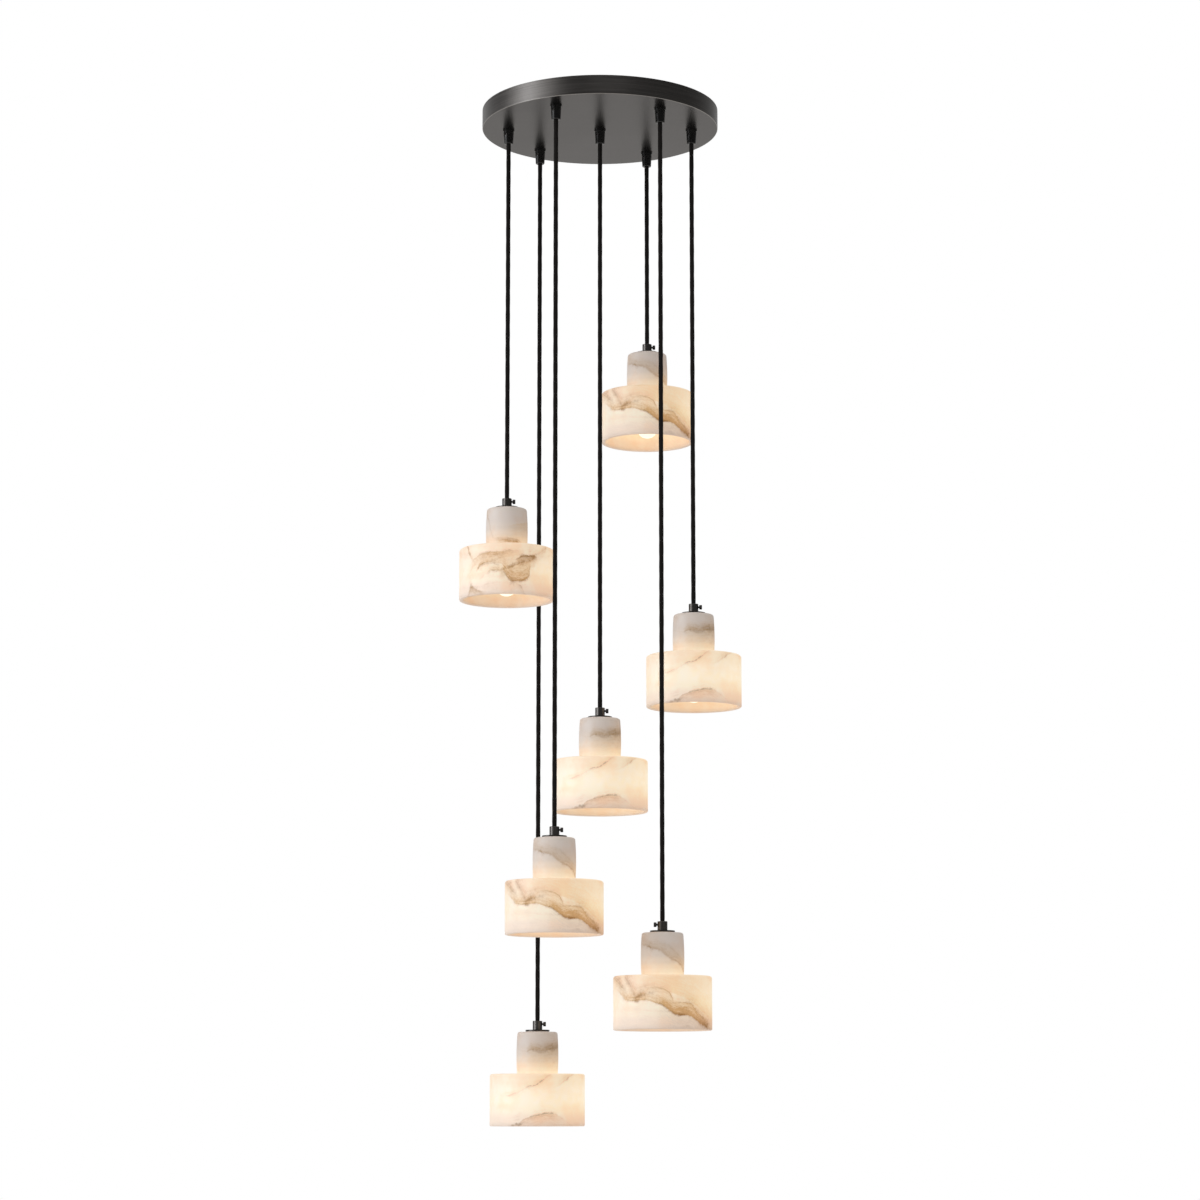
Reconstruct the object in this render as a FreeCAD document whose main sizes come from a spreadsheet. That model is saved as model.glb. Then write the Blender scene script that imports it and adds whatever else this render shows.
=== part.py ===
import FreeCAD, Part
import math
import operator
import os
from types import SimpleNamespace

import Sketcher

# A cluster pendant: one round ceiling canopy carries seven stone shades, each on its own cord.
# Millimetres, +Z up. The origin is the middle of the ceiling plane that the canopy closes against.

# Driving sizes, one cell each
sizes = {
    # Canopy and the bar behind it
    "canopyRadius": 175.0,
    "canopyDepth": 28.0,
    "canopySheet": 1.2,
    "canopyEdge": 1.0,
    "ringRadius": 136.0,
    "barWidth": 25.0,
    "barThick": 2.0,
    "barEndGap": 0.3,
    "barTab": 16.0,
    "slotReach": 40.0,
    "slotLength": 24.0,
    "slotRadius": 2.6,
    "barBore": 5.25,
    "holeGap": 0.2,
    "seatGap": 0.1,
    "threadGap": 0.05,
    "sideScrewLevel": 10.0,
    "sideScrewRadius": 1.5,
    "sideScrewLength": 8.0,
    "screwHeadRadius": 2.8,
    "screwHeadDepth": 1.0,
    "screwKeyRadius": 0.75,
    "earthPlace": 112.0,
    "earthAside": 6.25,
    "earthScrewRadius": 2.0,
    "earthHeadRadius": 3.4,
    "earthHeadDepth": 2.2,
    "cupWasherRadius": 4.4,
    "cupWasherThick": 0.5,
    # Cord grip at each outlet
    "nippleBoreGap": 0.5,
    "nippleWall": 1.5,
    "nippleDrop": 5.5,
    "nippleRise": 0.5,
    "lockNutRadius": 8.0,
    "lockNutThick": 3.0,
    "lockWasherRadius": 8.2,
    "lockWasherThick": 0.8,
    "gripLength": 22.0,
    "gripFlangeRadius": 8.6,
    "gripFlangeDepth": 2.4,
    "gripTopRadius": 7.7,
    "gripMouthRadius": 6.6,
    "gripRound": 1.4,
    "gripScrewDrop": 8.0,
    "gripScrewRadius": 1.6,
    "gripScrewLength": 3.6,
    "gripScrewAngle": 236.0,
    # Cord
    "cordRadius": 3.0,
    "cordGap": 0.3,
    "tailRise": 16.0,
    "tailRadius": 8.0,
    # Terminal block
    "blockLength": 100.0,
    "blockWidth": 26.0,
    "blockHeight": 19.6,
    "blockFront": 27.0,
    "wayPitch": 16.0,
    "wayDepth": 8.0,
    "tailIntoBlock": 6.0,
    "tailApproach": 20.0,
    "clampScrewRadius": 1.7,
    "clampScrewLength": 4.0,
    "clampWell": 5.0,
    "clampOffset": 3.4,
    # Fittings on top of each shade
    "capRadius": 7.0,
    "capHeight": 13.0,
    "capRound": 0.8,
    "knobLevel": 8.3,
    "shankRadius": 1.5,
    "knobRadius": 3.3,
    "knobLength": 4.0,
    "knobStandoff": 1.3,
    "knobRound": 0.5,
    "discRadius": 17.5,
    "discThick": 2.0,
    "discRound": 0.4,
    "gasketRadius": 16.6,
    "gasketThick": 1.0,
    "plateRadius": 18.0,
    "plateThick": 1.5,
    "nippleIntoCap": 5.0,
    "cordIntoHolder": 4.0,
    # Stone shade
    "drumRadius": 69.0,
    "drumHeight": 75.0,
    "neckHeight": 60.5,
    "neckTopRadius": 29.0,
    "neckFootRadius": 29.6,
    "neckBarrel": 400.0,
    "drumWall": 6.0,
    "drumRoof": 7.0,
    "neckBore": 23.0,
    "neckRoof": 8.0,
    "nippleHoleGap": 0.5,
    "stoneRound": 3.5,
    "rimRound": 2.0,
    # Lamp holder and lamp
    "holderRadius": 19.5,
    "holderHeight": 44.0,
    "holderWall": 2.4,
    "holderCollar": 9.0,
    "holderCollarHeight": 8.0,
    "holderRoof": 3.0,
    "socketFloor": 4.0,
    "linerDrop": 14.0,
    "linerWall": 0.5,
    "floorThick": 2.0,
    "floorBore": 1.0,
    "contactRadius": 4.0,
    "contactThick": 1.0,
    "contactBore": 0.5,
    "contactGap": 1.0,
    "screwBaseRadius": 13.0,
    "screwBaseLength": 22.0,
    "baseWall": 0.4,
    "baseGap": 0.2,
    "baseShoulder": 2.25,
    "tipRadius": 4.5,
    "tipNose": 2.25,
    "tipThick": 1.5,
    "glassRadius": 15.75,
    "glassWall": 0.8,
    "glassNeckGap": 0.1,
    "glassIntoBase": 7.3,
    "glassAboveRim": 7.0,
}

# Each pendant: its outlet is on the ring (1) or central (0), at an angle. Then its cord's length and its knob's side.
pendants = [
    {"number": 1, "onRing": 1, "angle": 58.5, "hang": 277.5, "knobSide": 0},
    {"number": 2, "onRing": 1, "angle": 180.0, "hang": 536.5, "knobSide": 0},
    {"number": 3, "onRing": 1, "angle": 0.0, "hang": 692.5, "knobSide": 0},
    {"number": 4, "onRing": 0, "angle": 0.0, "hang": 844.5, "knobSide": 0},
    {"number": 5, "onRing": 1, "angle": 242.0, "hang": 1027.0, "knobSide": 0},
    {"number": 6, "onRing": 1, "angle": 310.0, "hang": 1158.5, "knobSide": 180},
    {"number": 7, "onRing": 1, "angle": 132.0, "hang": 1291.0, "knobSide": 0},
]

# Which way of the terminal block each cord's tail goes to, and on which side of the block
blockWays = {
    1: {"way": 1, "side": "rear"},
    2: {"way": -2, "side": "front"},
    3: {"way": 2, "side": "front"},
    4: {"way": 0, "side": "front"},
    5: {"way": -1, "side": "front"},
    6: {"way": 1, "side": "front"},
    7: {"way": -1, "side": "rear"},
}


class Size:
    """A length or an angle as a number, with the rule that gives it in the sheet's own words."""

    def __init__(self, value, rule=None):
        self.value = float(value)
        self.rule = rule if rule is not None else repr(float(value))

    def joined(self, other, sign, swap=False):
        first, second = (sized(other), self) if swap else (self, sized(other))
        worked = signs[sign](first.value, second.value)
        return Size(worked, f"({first.rule} {sign} {second.rule})")

    def __add__(self, other):
        return self.joined(other, "+")

    def __radd__(self, other):
        return self.joined(other, "+", swap=True)

    def __sub__(self, other):
        return self.joined(other, "-")

    def __rsub__(self, other):
        return self.joined(other, "-", swap=True)

    def __mul__(self, other):
        return self.joined(other, "*")

    def __rmul__(self, other):
        return self.joined(other, "*", swap=True)

    def __truediv__(self, other):
        return self.joined(other, "/")

    def __neg__(self):
        return Size(-self.value, f"(-{self.rule})")


signs = {"+": operator.add, "-": operator.sub, "*": operator.mul, "/": operator.truediv}


def sized(value):
    return value if isinstance(value, Size) else Size(value)


def cosine(angle):
    return Size(math.cos(math.radians(angle.value)), f"cos({angle.rule} * 1deg)")


def sine(angle):
    return Size(math.sin(math.radians(angle.value)), f"sin({angle.rule} * 1deg)")


def root(size):
    return Size(math.sqrt(size.value), f"sqrt({size.rule})")


doc = FreeCAD.newDocument("ClusterPendant")
sheet = doc.addObject("Spreadsheet::Sheet", "Sizes")
for pendant in pendants:
    number = pendant["number"]
    sizes[f"outletAngle{number}"] = pendant["angle"]
    sizes[f"cordHang{number}"] = pendant["hang"]
for row, (word, amount) in enumerate(sizes.items(), start=1):
    sheet.set(f"A{row}", word)
    sheet.set(f"B{row}", str(amount))
    sheet.setAlias(f"B{row}", word)
doc.recompute()
s = SimpleNamespace(**{word: Size(amount, f"Sizes.{word}") for word, amount in sizes.items()})

nodes = {}
upwards = FreeCAD.Vector(0, 0, 1)
tiny = 0.01
bendShare = 0.45


def node(thing, label):
    thing.Label = label
    nodes[label] = thing
    return thing


def bind(thing, name, size):
    """Sets a property to a size and ties it to the size's rule."""
    setattr(thing, name, size.value)
    thing.setExpression(name, size.rule)


def place(thing, x=0, y=0, z=0, turn=0):
    """Puts a piece at a point, turned about the vertical, with each coordinate tied to its rule."""
    x, y, z, turn = sized(x), sized(y), sized(z), sized(turn)
    thing.Placement = FreeCAD.Placement(
        FreeCAD.Vector(x.value, y.value, z.value),
        FreeCAD.Rotation(upwards, turn.value),
    )
    thing.setExpression("Placement.Base.x", x.rule)
    thing.setExpression("Placement.Base.y", y.rule)
    thing.setExpression("Placement.Base.z", z.rule)
    thing.setExpression("Placement.Rotation.Angle", f"{turn.rule} * 1deg")


def plane(body, role):
    return next(part for part in body.Origin.OriginFeatures if part.Role == role)


def newSketch(body, name, role):
    sketch = body.newObject("Sketcher::SketchObject", name)
    sketch.AttachmentSupport = [(plane(body, role), "")]
    sketch.MapMode = "FlatFace"
    return sketch


def fix(sketch, geometry, point, across, along):
    """Ties one point of a sketch to its two distances from the sketch's origin."""
    for kind, axis, size in (("DistanceX", -2, across), ("DistanceY", -1, along)):
        if abs(size.value) < tiny:
            sketch.addConstraint(Sketcher.Constraint("PointOnObject", geometry, point, axis))
            continue
        index = sketch.addConstraint(Sketcher.Constraint(kind, -1, 1, geometry, point, size.value))
        sketch.setExpression(f"Constraints[{index}]", size.rule)


def arcThrough(start, end, radius):
    """An arc from start to end. It bulges to the right of the way there, or to the left if the radius is negative."""
    if radius < 0:
        return arcThrough(end, start, -radius)
    chord = end - start
    left = FreeCAD.Vector(-chord.y, chord.x, 0).normalize()
    middle = (start + end) * 0.5 + left * math.sqrt(radius**2 - (chord.Length / 2) ** 2)
    first = math.atan2(start.y - middle.y, start.x - middle.x)
    last = math.atan2(end.y - middle.y, end.x - middle.x)
    if last < first:
        last += 2 * math.pi
    return Part.ArcOfCircle(Part.Circle(middle, upwards, radius), first, last)


def outline(sketch, corners):
    """A closed outline through the corners. A corner's third entry is the radius of an arc that leaves it."""
    points = [FreeCAD.Vector(sized(c[0]).value, sized(c[1]).value, 0) for c in corners]
    count = len(corners)
    first = len(sketch.Geometry)
    ends = []
    for i, corner in enumerate(corners):
        start, end = points[i], points[(i + 1) % count]
        if len(corner) == 2:
            sketch.addGeometry(Part.LineSegment(start, end), False)
            ends.append((1, 2))
            continue
        sketch.addGeometry(arcThrough(start, end, corner[2].value), False)
        ends.append((1, 2) if corner[2].value > 0 else (2, 1))
    for i, corner in enumerate(corners):
        before = (i - 1) % count
        here, there = first + i, first + before
        sketch.addConstraint(Sketcher.Constraint("Coincident", there, ends[before][1], here, ends[i][0]))
        fix(sketch, here, ends[i][0], sized(corner[0]), sized(corner[1]))
        if len(corner) == 3:
            radius = corner[2] if corner[2].value > 0 else -corner[2]
            index = sketch.addConstraint(Sketcher.Constraint("Radius", here, radius.value))
            sketch.setExpression(f"Constraints[{index}]", radius.rule)


def turned(name, corners, axis="V_Axis"):
    """A body turned from an outline on its upright plane, about the outline's vertical or horizontal axis."""
    body = doc.addObject("PartDesign::Body", name)
    sketch = newSketch(body, name + "Profile", "XZ_Plane")
    outline(sketch, corners)
    turn = body.newObject("PartDesign::Revolution", name + "Turn")
    turn.Profile = sketch
    turn.ReferenceAxis = (sketch, [axis])
    turn.Angle = 360
    doc.recompute()
    return body


def edgesAt(shape, radius, level, axis=upwards):
    """Names of the round edges of a shape with that radius whose middle is at that level along the axis."""
    found = []
    for i, edge in enumerate(shape.Edges, start=1):
        curve = edge.Curve
        if not isinstance(curve, Part.Circle) or abs(curve.Radius - radius) > tiny:
            continue
        if abs(curve.Center.dot(axis) - level) < tiny:
            found.append(f"Edge{i}")
    return found


def rounded(body, name, radius, places, axis=upwards):
    """Rounds a body's round edges, each given by its own radius and its level."""
    base = body.Tip
    names = []
    for edgeRadius, level in places:
        found = edgesAt(base.Shape, sized(edgeRadius).value, sized(level).value, axis)
        if not found:
            raise RuntimeError(f"{name}: no edge of radius {sized(edgeRadius).value}")
        names += found
    fillet = body.newObject("PartDesign::Fillet", name)
    fillet.Base = (base, names)
    bind(fillet, "Radius", radius)
    doc.recompute()
    return fillet


def drilled(body, name, role, circles, length=None, backwards=False, midplane=False):
    """Cuts round holes, each given by its middle and its radius on one of the body's planes."""
    sketch = newSketch(body, name + "Sketch", role)
    for across, along, radius in circles:
        across, along, radius = sized(across), sized(along), sized(radius)
        middle = FreeCAD.Vector(across.value, along.value, 0)
        index = sketch.addGeometry(Part.Circle(middle, upwards, radius.value), False)
        fix(sketch, index, 3, across, along)
        size = sketch.addConstraint(Sketcher.Constraint("Radius", index, radius.value))
        sketch.setExpression(f"Constraints[{size}]", radius.rule)
    return pocketed(body, name, sketch, length, backwards, midplane)


def pocketed(body, name, sketch, length=None, backwards=False, midplane=False):
    """Cuts a sketch out of a body, all through or to a depth, and makes sure that it cut something."""
    before = body.Shape.Volume
    pocket = body.newObject("PartDesign::Pocket", name)
    pocket.Profile = sketch
    if length is None:
        pocket.Type = "ThroughAll"
    else:
        bind(pocket, "Length", length)
    pocket.Reversed = backwards
    pocket.Midplane = midplane
    doc.recompute()
    if not body.Shape.Volume < before - tiny:
        raise RuntimeError(f"{name} cuts nothing")
    return pocket


def primitive(kind, name, **given):
    thing = doc.addObject(f"Part::{kind}", name)
    for word, size in given.items():
        bind(thing, word, size)
    return thing


def cut(name, base, tools):
    tool = tools[0]
    if len(tools) > 1:
        tool = doc.addObject("Part::MultiFuse", name + "Tools")
        tool.Shapes = tools
    result = doc.addObject("Part::Cut", name)
    result.Base = base
    result.Tool = tool
    return result


def grouped(label, pieces):
    """Like fasteners share one node, each still its own solid."""
    group = doc.addObject("Part::Compound", label)
    group.Links = pieces
    return node(group, label)


def washer(name, inner, outer, low, high):
    return turned(name, [(inner, low), (outer, low), (outer, high), (inner, high)])


# Sizes and places that several pieces share
nippleBore = s.cordRadius + s.nippleBoreGap
nippleRadius = nippleBore + s.nippleWall
glassNeck = s.screwBaseRadius - s.baseWall - s.glassNeckGap
plateTop = s.canopySheet - s.canopyDepth
gripMouth = -(s.canopyDepth + s.gripLength)
tailLevel = plateTop + s.tailRise
wellFoot = plateTop + s.blockHeight - s.clampWell
shadeTop = s.drumHeight + s.neckHeight
discTop = shadeTop + s.gasketThick + s.discThick
capTop = discTop + s.capHeight
boreFoot = s.drumHeight - s.drumRoof
boreTop = shadeTop - s.neckRoof
holderTop = boreTop - s.plateThick
holderFoot = holderTop - s.holderHeight
floorFoot = holderTop - s.holderCollarHeight - s.holderRoof - s.socketFloor + s.linerWall
outlets = {}
for pendant in pendants:
    number = pendant["number"]
    angle = getattr(s, f"outletAngle{number}")
    reach = s.ringRadius * pendant["onRing"]
    outlets[number] = {
        "x": reach * cosine(angle) if pendant["onRing"] else sized(0),
        "y": reach * sine(angle) if pendant["onRing"] else sized(0),
        "angle": angle,
        "rim": gripMouth - getattr(s, f"cordHang{number}") - capTop,
    }


def canopyCover():
    """The dish that hides the ceiling box: a flat plate with a low rim, open towards the ceiling."""
    inside = s.canopyRadius - s.canopySheet
    body = turned(
        "CanopyCover",
        [
            (0, -s.canopyDepth),
            (s.canopyRadius, -s.canopyDepth),
            (s.canopyRadius, 0),
            (inside, 0),
            (inside, plateTop),
            (0, plateTop),
        ],
    )
    rounded(body, "CanopyEdge", s.canopyEdge, [(s.canopyRadius, -s.canopyDepth)])
    holes = [(outlet["x"], outlet["y"], nippleRadius + s.holeGap) for outlet in outlets.values()]
    drilled(body, "OutletHoles", "XY_Plane", holes, midplane=True)
    screwHoles = [(0, -s.sideScrewLevel, s.sideScrewRadius + s.holeGap)]
    drilled(body, "SideScrewHoles", "YZ_Plane", screwHoles, midplane=True)
    countersinks(body)
    return node(body, "canopy_cover")


def countersinks(body):
    """A shallow cone at each side hole takes the screw's head flush with the rim."""
    depth = s.screwHeadDepth + s.seatGap
    head = s.screwHeadRadius + s.seatGap
    hole = s.sideScrewRadius + s.seatGap
    for name, side in (("Right", 1), ("Left", -1)):
        before = len(body.Shape.Faces)
        cone = body.newObject("PartDesign::SubtractiveCone", f"Countersink{name}")
        bind(cone, "Radius1", hole)
        bind(cone, "Radius2", head + (head - hole) * s.canopySheet / depth)
        bind(cone, "Height", depth + s.canopySheet)
        start = side * (s.canopyRadius - depth)
        cone.Placement = FreeCAD.Placement(
            FreeCAD.Vector(start.value, 0, -s.sideScrewLevel.value),
            FreeCAD.Rotation(FreeCAD.Vector(0, 1, 0), side * 90),
        )
        cone.setExpression("Placement.Base.x", start.rule)
        cone.setExpression("Placement.Base.z", (-s.sideScrewLevel).rule)
        doc.recompute()
        if len(body.Shape.Faces) == before:
            raise RuntimeError(f"Countersink{name} cuts nothing")


def mountingBar():
    """The slotted bar that screws to the ceiling box. Its ends turn down and take the canopy's side screws."""
    inside = s.canopyRadius - s.canopySheet
    reach = root(inside * inside - s.barWidth * s.barWidth / 4) - s.barEndGap
    inner = reach - s.barThick
    body = doc.addObject("PartDesign::Body", "MountingBar")
    sketch = newSketch(body, "BarProfile", "XZ_Plane")
    outline(
        sketch,
        [
            (-reach, -s.barTab),
            (-inner, -s.barTab),
            (-inner, -s.barThick),
            (inner, -s.barThick),
            (inner, -s.barTab),
            (reach, -s.barTab),
            (reach, 0),
            (-reach, 0),
        ],
    )
    pad = body.newObject("PartDesign::Pad", "BarPad")
    pad.Profile = sketch
    bind(pad, "Length", s.barWidth)
    pad.Midplane = True
    doc.recompute()
    slots = newSketch(body, "SlotSketch", "XY_Plane")
    half = s.slotLength / 2 - s.slotRadius
    for side in (1, -1):
        slot(slots, side * s.slotReach - half, side * s.slotReach + half)
    pocketed(body, "Slots", slots, midplane=True)
    bores = [(0, 0, s.barBore), (s.earthPlace, -s.earthAside, s.earthScrewRadius + s.threadGap)]
    drilled(body, "BarBores", "XY_Plane", bores, midplane=True)
    taps = [(0, -s.sideScrewLevel, s.sideScrewRadius + s.threadGap)]
    drilled(body, "BarTaps", "YZ_Plane", taps, midplane=True)
    return node(body, "mounting_bar")


def slot(sketch, start, end):
    """One slot along the bar: two straight sides and two half-round ends."""
    radius = s.slotRadius.value
    first = len(sketch.Geometry)
    left = FreeCAD.Vector(start.value, 0, 0)
    right = FreeCAD.Vector(end.value, 0, 0)
    lift = FreeCAD.Vector(0, radius, 0)
    sketch.addGeometry(Part.ArcOfCircle(Part.Circle(left, upwards, radius), math.pi / 2, 3 * math.pi / 2), False)
    sketch.addGeometry(Part.LineSegment(left - lift, right - lift), False)
    sketch.addGeometry(Part.ArcOfCircle(Part.Circle(right, upwards, radius), -math.pi / 2, math.pi / 2), False)
    sketch.addGeometry(Part.LineSegment(right + lift, left + lift), False)
    for i in range(4):
        sketch.addConstraint(Sketcher.Constraint("Tangent", first + i, 2, first + (i + 1) % 4, 1))
    for arc, middle in ((first, start), (first + 2, end)):
        fix(sketch, arc, 3, middle, sized(0))
        index = sketch.addConstraint(Sketcher.Constraint("Radius", arc, radius))
        sketch.setExpression(f"Constraints[{index}]", s.slotRadius.rule)


def sideScrews():
    """The two countersunk screws that hold the canopy to the bar's turned-down ends."""
    screws = []
    for i, turn in enumerate((0, 180)):
        far = s.canopyRadius - s.threadGap
        neck = far - s.screwHeadDepth
        screw = turned(
            f"SideScrew{i}",
            [
                (far - s.sideScrewLength, 0),
                (far, 0),
                (far, s.screwHeadRadius),
                (neck, s.sideScrewRadius),
                (far - s.sideScrewLength, s.sideScrewRadius),
            ],
            axis="H_Axis",
        )
        keyhole(screw, f"SideScrewKey{i}", far, s.screwHeadDepth, s.screwKeyRadius)
        place(screw, z=-s.sideScrewLevel, turn=turn)
        screws.append(screw)
    return grouped("canopy_side_screws", screws)


def keyhole(body, name, face, depth, radius):
    """A hexagon socket cut into the outer end of a screw that lies along the body's own X."""
    sketch = newSketch(body, name + "Sketch", "YZ_Plane")
    sketch.AttachmentOffset = FreeCAD.Placement(FreeCAD.Vector(0, 0, face.value), FreeCAD.Rotation())
    sketch.setExpression("AttachmentOffset.Base.z", face.rule)
    corners = []
    for k in range(6):
        corners.append((radius * math.cos(math.radians(60 * k + 30)), radius * math.sin(math.radians(60 * k + 30))))
    outline(sketch, corners)
    return pocketed(body, name, sketch, depth)


def earthScrew():
    """The earth screw in the bar, with its cup washer under the head."""
    headTop = -s.cupWasherThick
    headFoot = headTop - s.earthHeadDepth
    screw = turned(
        "EarthScrew",
        [
            (0, s.barThick),
            (s.earthScrewRadius, s.barThick),
            (s.earthScrewRadius, headTop),
            (s.earthHeadRadius, headTop),
            (s.earthHeadRadius, headFoot),
            (0, headFoot),
        ],
    )
    cup = washer("EarthWasher", s.earthScrewRadius + s.threadGap, s.cupWasherRadius, headTop, 0)
    for piece in (screw, cup):
        place(piece, s.earthPlace, -s.earthAside, -s.barThick)
    return grouped("earth_screw", [screw, cup])


def gripCones():
    """Under each outlet hangs a tapered grip with a flange, screwed onto the nipple."""
    cones = []
    for number, outlet in outlets.items():
        bore = nippleRadius + s.threadGap
        passage = s.cordRadius + s.cordGap
        cone = turned(
            f"GripCone{number}",
            [
                (bore, 0),
                (s.gripFlangeRadius, 0),
                (s.gripFlangeRadius, -s.gripFlangeDepth),
                (s.gripTopRadius, -s.gripFlangeDepth),
                (s.gripMouthRadius, -s.gripLength),
                (passage, -s.gripLength),
                (passage, -s.nippleDrop - s.threadGap),
                (bore, -s.nippleDrop - s.threadGap),
            ],
        )
        rounded(cone, f"GripRound{number}", s.gripRound, [(s.gripMouthRadius, -s.gripLength)])
        tap = [(0, -s.gripScrewDrop, s.gripScrewRadius + s.threadGap)]
        drilled(cone, f"GripTap{number}", "YZ_Plane", tap, length=s.gripFlangeRadius, backwards=True)
        place(cone, outlet["x"], outlet["y"], -s.canopyDepth, s.gripScrewAngle)
        cones.append(cone)
    return grouped("cord_grips", cones)


def gripScrews():
    """A small screw in the side of each grip pinches the cord at its set length."""
    screws = []
    for number, outlet in outlets.items():
        inner = s.cordRadius + s.threadGap
        screw = turned(
            f"GripScrew{number}",
            [
                (inner, 0),
                (inner + s.gripScrewLength, 0),
                (inner + s.gripScrewLength, s.gripScrewRadius),
                (inner, s.gripScrewRadius),
            ],
            axis="H_Axis",
        )
        keyhole(screw, f"GripScrewKey{number}", inner + s.gripScrewLength, s.gripScrewRadius, s.screwKeyRadius)
        place(screw, outlet["x"], outlet["y"], -(s.canopyDepth + s.gripScrewDrop), s.gripScrewAngle)
        screws.append(screw)
    return grouped("grip_screws", screws)


def gripNipples():
    """The hollow threaded nipple joins each grip to its lock nut through the canopy's plate."""
    top = s.canopySheet + s.lockWasherThick + s.lockNutThick + s.nippleRise
    nipples = []
    for number, outlet in outlets.items():
        tube = washer(f"GripNipple{number}", nippleBore, nippleRadius, -s.nippleDrop, top)
        place(tube, outlet["x"], outlet["y"], -s.canopyDepth)
        nipples.append(tube)
    return grouped("grip_nipples", nipples)


def lockNuts():
    """Inside the canopy each nipple carries a washer and a hexagon nut."""
    nuts = []
    bore = nippleRadius + s.threadGap
    for number, outlet in outlets.items():
        ring = washer(f"LockWasher{number}", bore, s.lockWasherRadius, 0, s.lockWasherThick)
        place(ring, outlet["x"], outlet["y"], plateTop)
        block = primitive("Prism", f"LockNutBlock{number}", Circumradius=s.lockNutRadius, Height=s.lockNutThick)
        block.Polygon = 6
        hole = primitive("Cylinder", f"LockNutBore{number}", Radius=bore, Height=s.lockNutThick)
        nut = cut(f"LockNut{number}", block, [hole])
        place(nut, outlet["x"], outlet["y"], plateTop + s.lockWasherThick)
        nuts += [ring, nut]
    return grouped("grip_lock_nuts", nuts)


def blockWay(number):
    """Where a tail meets the terminal block: the way's X, the block's face and the way in."""
    way = blockWays[number]
    face = s.blockFront if way["side"] == "front" else s.blockFront + s.blockWidth
    inward = 1 if way["side"] == "front" else -1
    return s.wayPitch * way["way"], face, inward


def terminalBlock():
    """The block on the canopy's plate where the seven cords join the supply, with a spare way for it at the rear."""
    block = primitive("Box", "BlockBody", Length=s.blockLength, Width=s.blockWidth, Height=s.blockHeight)
    place(block, -s.blockLength / 2, s.blockFront, plateTop)
    tools = []
    for i, (across, face, inward) in enumerate(allWays()):
        way = primitive("Cylinder", f"BlockWay{i}", Radius=s.cordRadius + s.cordGap, Height=s.wayDepth)
        deep = face if inward > 0 else face - s.wayDepth
        way.Placement = FreeCAD.Placement(
            FreeCAD.Vector(across.value, deep.value, tailLevel.value),
            FreeCAD.Rotation(FreeCAD.Vector(1, 0, 0), -90),
        )
        way.setExpression("Placement.Base.x", across.rule)
        way.setExpression("Placement.Base.y", deep.rule)
        way.setExpression("Placement.Base.z", tailLevel.rule)
        tools.append(way)
        for side in (1, -1):
            wellRadius = s.clampScrewRadius + s.cordGap
            well = primitive("Cylinder", f"BlockWell{i}{side + 1}", Radius=wellRadius, Height=s.clampWell)
            place(well, across + side * s.clampOffset, clampPlace(face, inward), wellFoot)
            tools.append(well)
    return node(cut("TerminalBlock", block, tools), "terminal_block")


def allWays():
    """The seven cords' ways of the block, and one more at the middle of its rear for the supply."""
    return [blockWay(number) for number in blockWays] + [(sized(0), s.blockFront + s.blockWidth, -1)]


def clampPlace(face, inward):
    return face + inward * (s.wayDepth + s.clampScrewRadius)


def clampScrews():
    """Two clamp screws for each way of the block, one for each conductor."""
    screws = []
    for i, (across, face, inward) in enumerate(allWays()):
        for side in (1, -1):
            name = f"ClampScrew{i}{side + 1}"
            screw = primitive("Cylinder", name, Radius=s.clampScrewRadius, Height=s.clampScrewLength)
            place(screw, across + side * s.clampOffset, clampPlace(face, inward), wellFoot)
            screws.append(screw)
    return grouped("terminal_screws", screws)


def cordPath(points, radii):
    """Straight runs joined by tangent arcs, one arc at each inner point."""
    edges = []
    here = points[0]
    for i in range(1, len(points) - 1):
        back = (points[i - 1] - points[i]).normalize()
        on = (points[i + 1] - points[i]).normalize()
        half = back.getAngle(on) / 2
        reach = radii[i - 1] / math.tan(half)
        start = points[i] + back * reach
        end = points[i] + on * reach
        inwards = (back + on).normalize()
        middle = points[i] + inwards * (radii[i - 1] / math.sin(half) - radii[i - 1])
        edges.append(Part.LineSegment(here, start).toShape())
        edges.append(Part.Arc(start, middle, end).toShape())
        here = end
    edges.append(Part.LineSegment(here, points[-1]).toShape())
    return Part.Wire(edges)


def cordTails():
    """Above each grip the cord goes on inside the canopy, bends over and runs to its way of the block."""
    tails = []
    for number, outlet in outlets.items():
        across, face, inward = blockWay(number)
        x, y = outlet["x"].value, outlet["y"].value
        low = gripMouth.value + s.cordRadius.value + s.cordGap.value
        level = tailLevel.value
        near = face.value - inward * s.tailApproach.value
        deep = face.value + inward * s.tailIntoBlock.value
        points = [FreeCAD.Vector(x, y, low), FreeCAD.Vector(x, y, level)]
        radii = [s.tailRadius.value]
        corner = FreeCAD.Vector(across.value, near, level)
        if (corner - points[1]).Length > s.tailApproach.value:
            points.append(corner)
        points.append(FreeCAD.Vector(across.value, deep, level))
        if len(points) == 4:
            turn = (points[2] - points[1]).getAngle(points[3] - points[2])
            radii.append(bendShare * s.tailApproach.value / math.tan(turn / 2))
        path = cordPath(points, radii)
        circle = Part.Circle(points[0], upwards, s.cordRadius.value)
        ring = Part.Wire([circle.toShape()])
        solid = path.makePipeShell([ring], True, False)
        expected = math.pi * s.cordRadius.value**2 * path.Length
        print(f"cord tail {number}: length {path.Length:.1f}, radii {[round(r, 1) for r in radii]}, "
              f"volume {solid.Volume / expected:.4f} of section times length")
        if abs(solid.Volume / expected - 1) > tiny:
            raise RuntimeError(f"Cord tail {number} isn't a whole tube")
        tail = doc.addObject("Part::Feature", f"CordTail{number}")
        tail.Shape = solid
        tails.append(tail)
    return grouped("cord_tails", tails)


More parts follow.
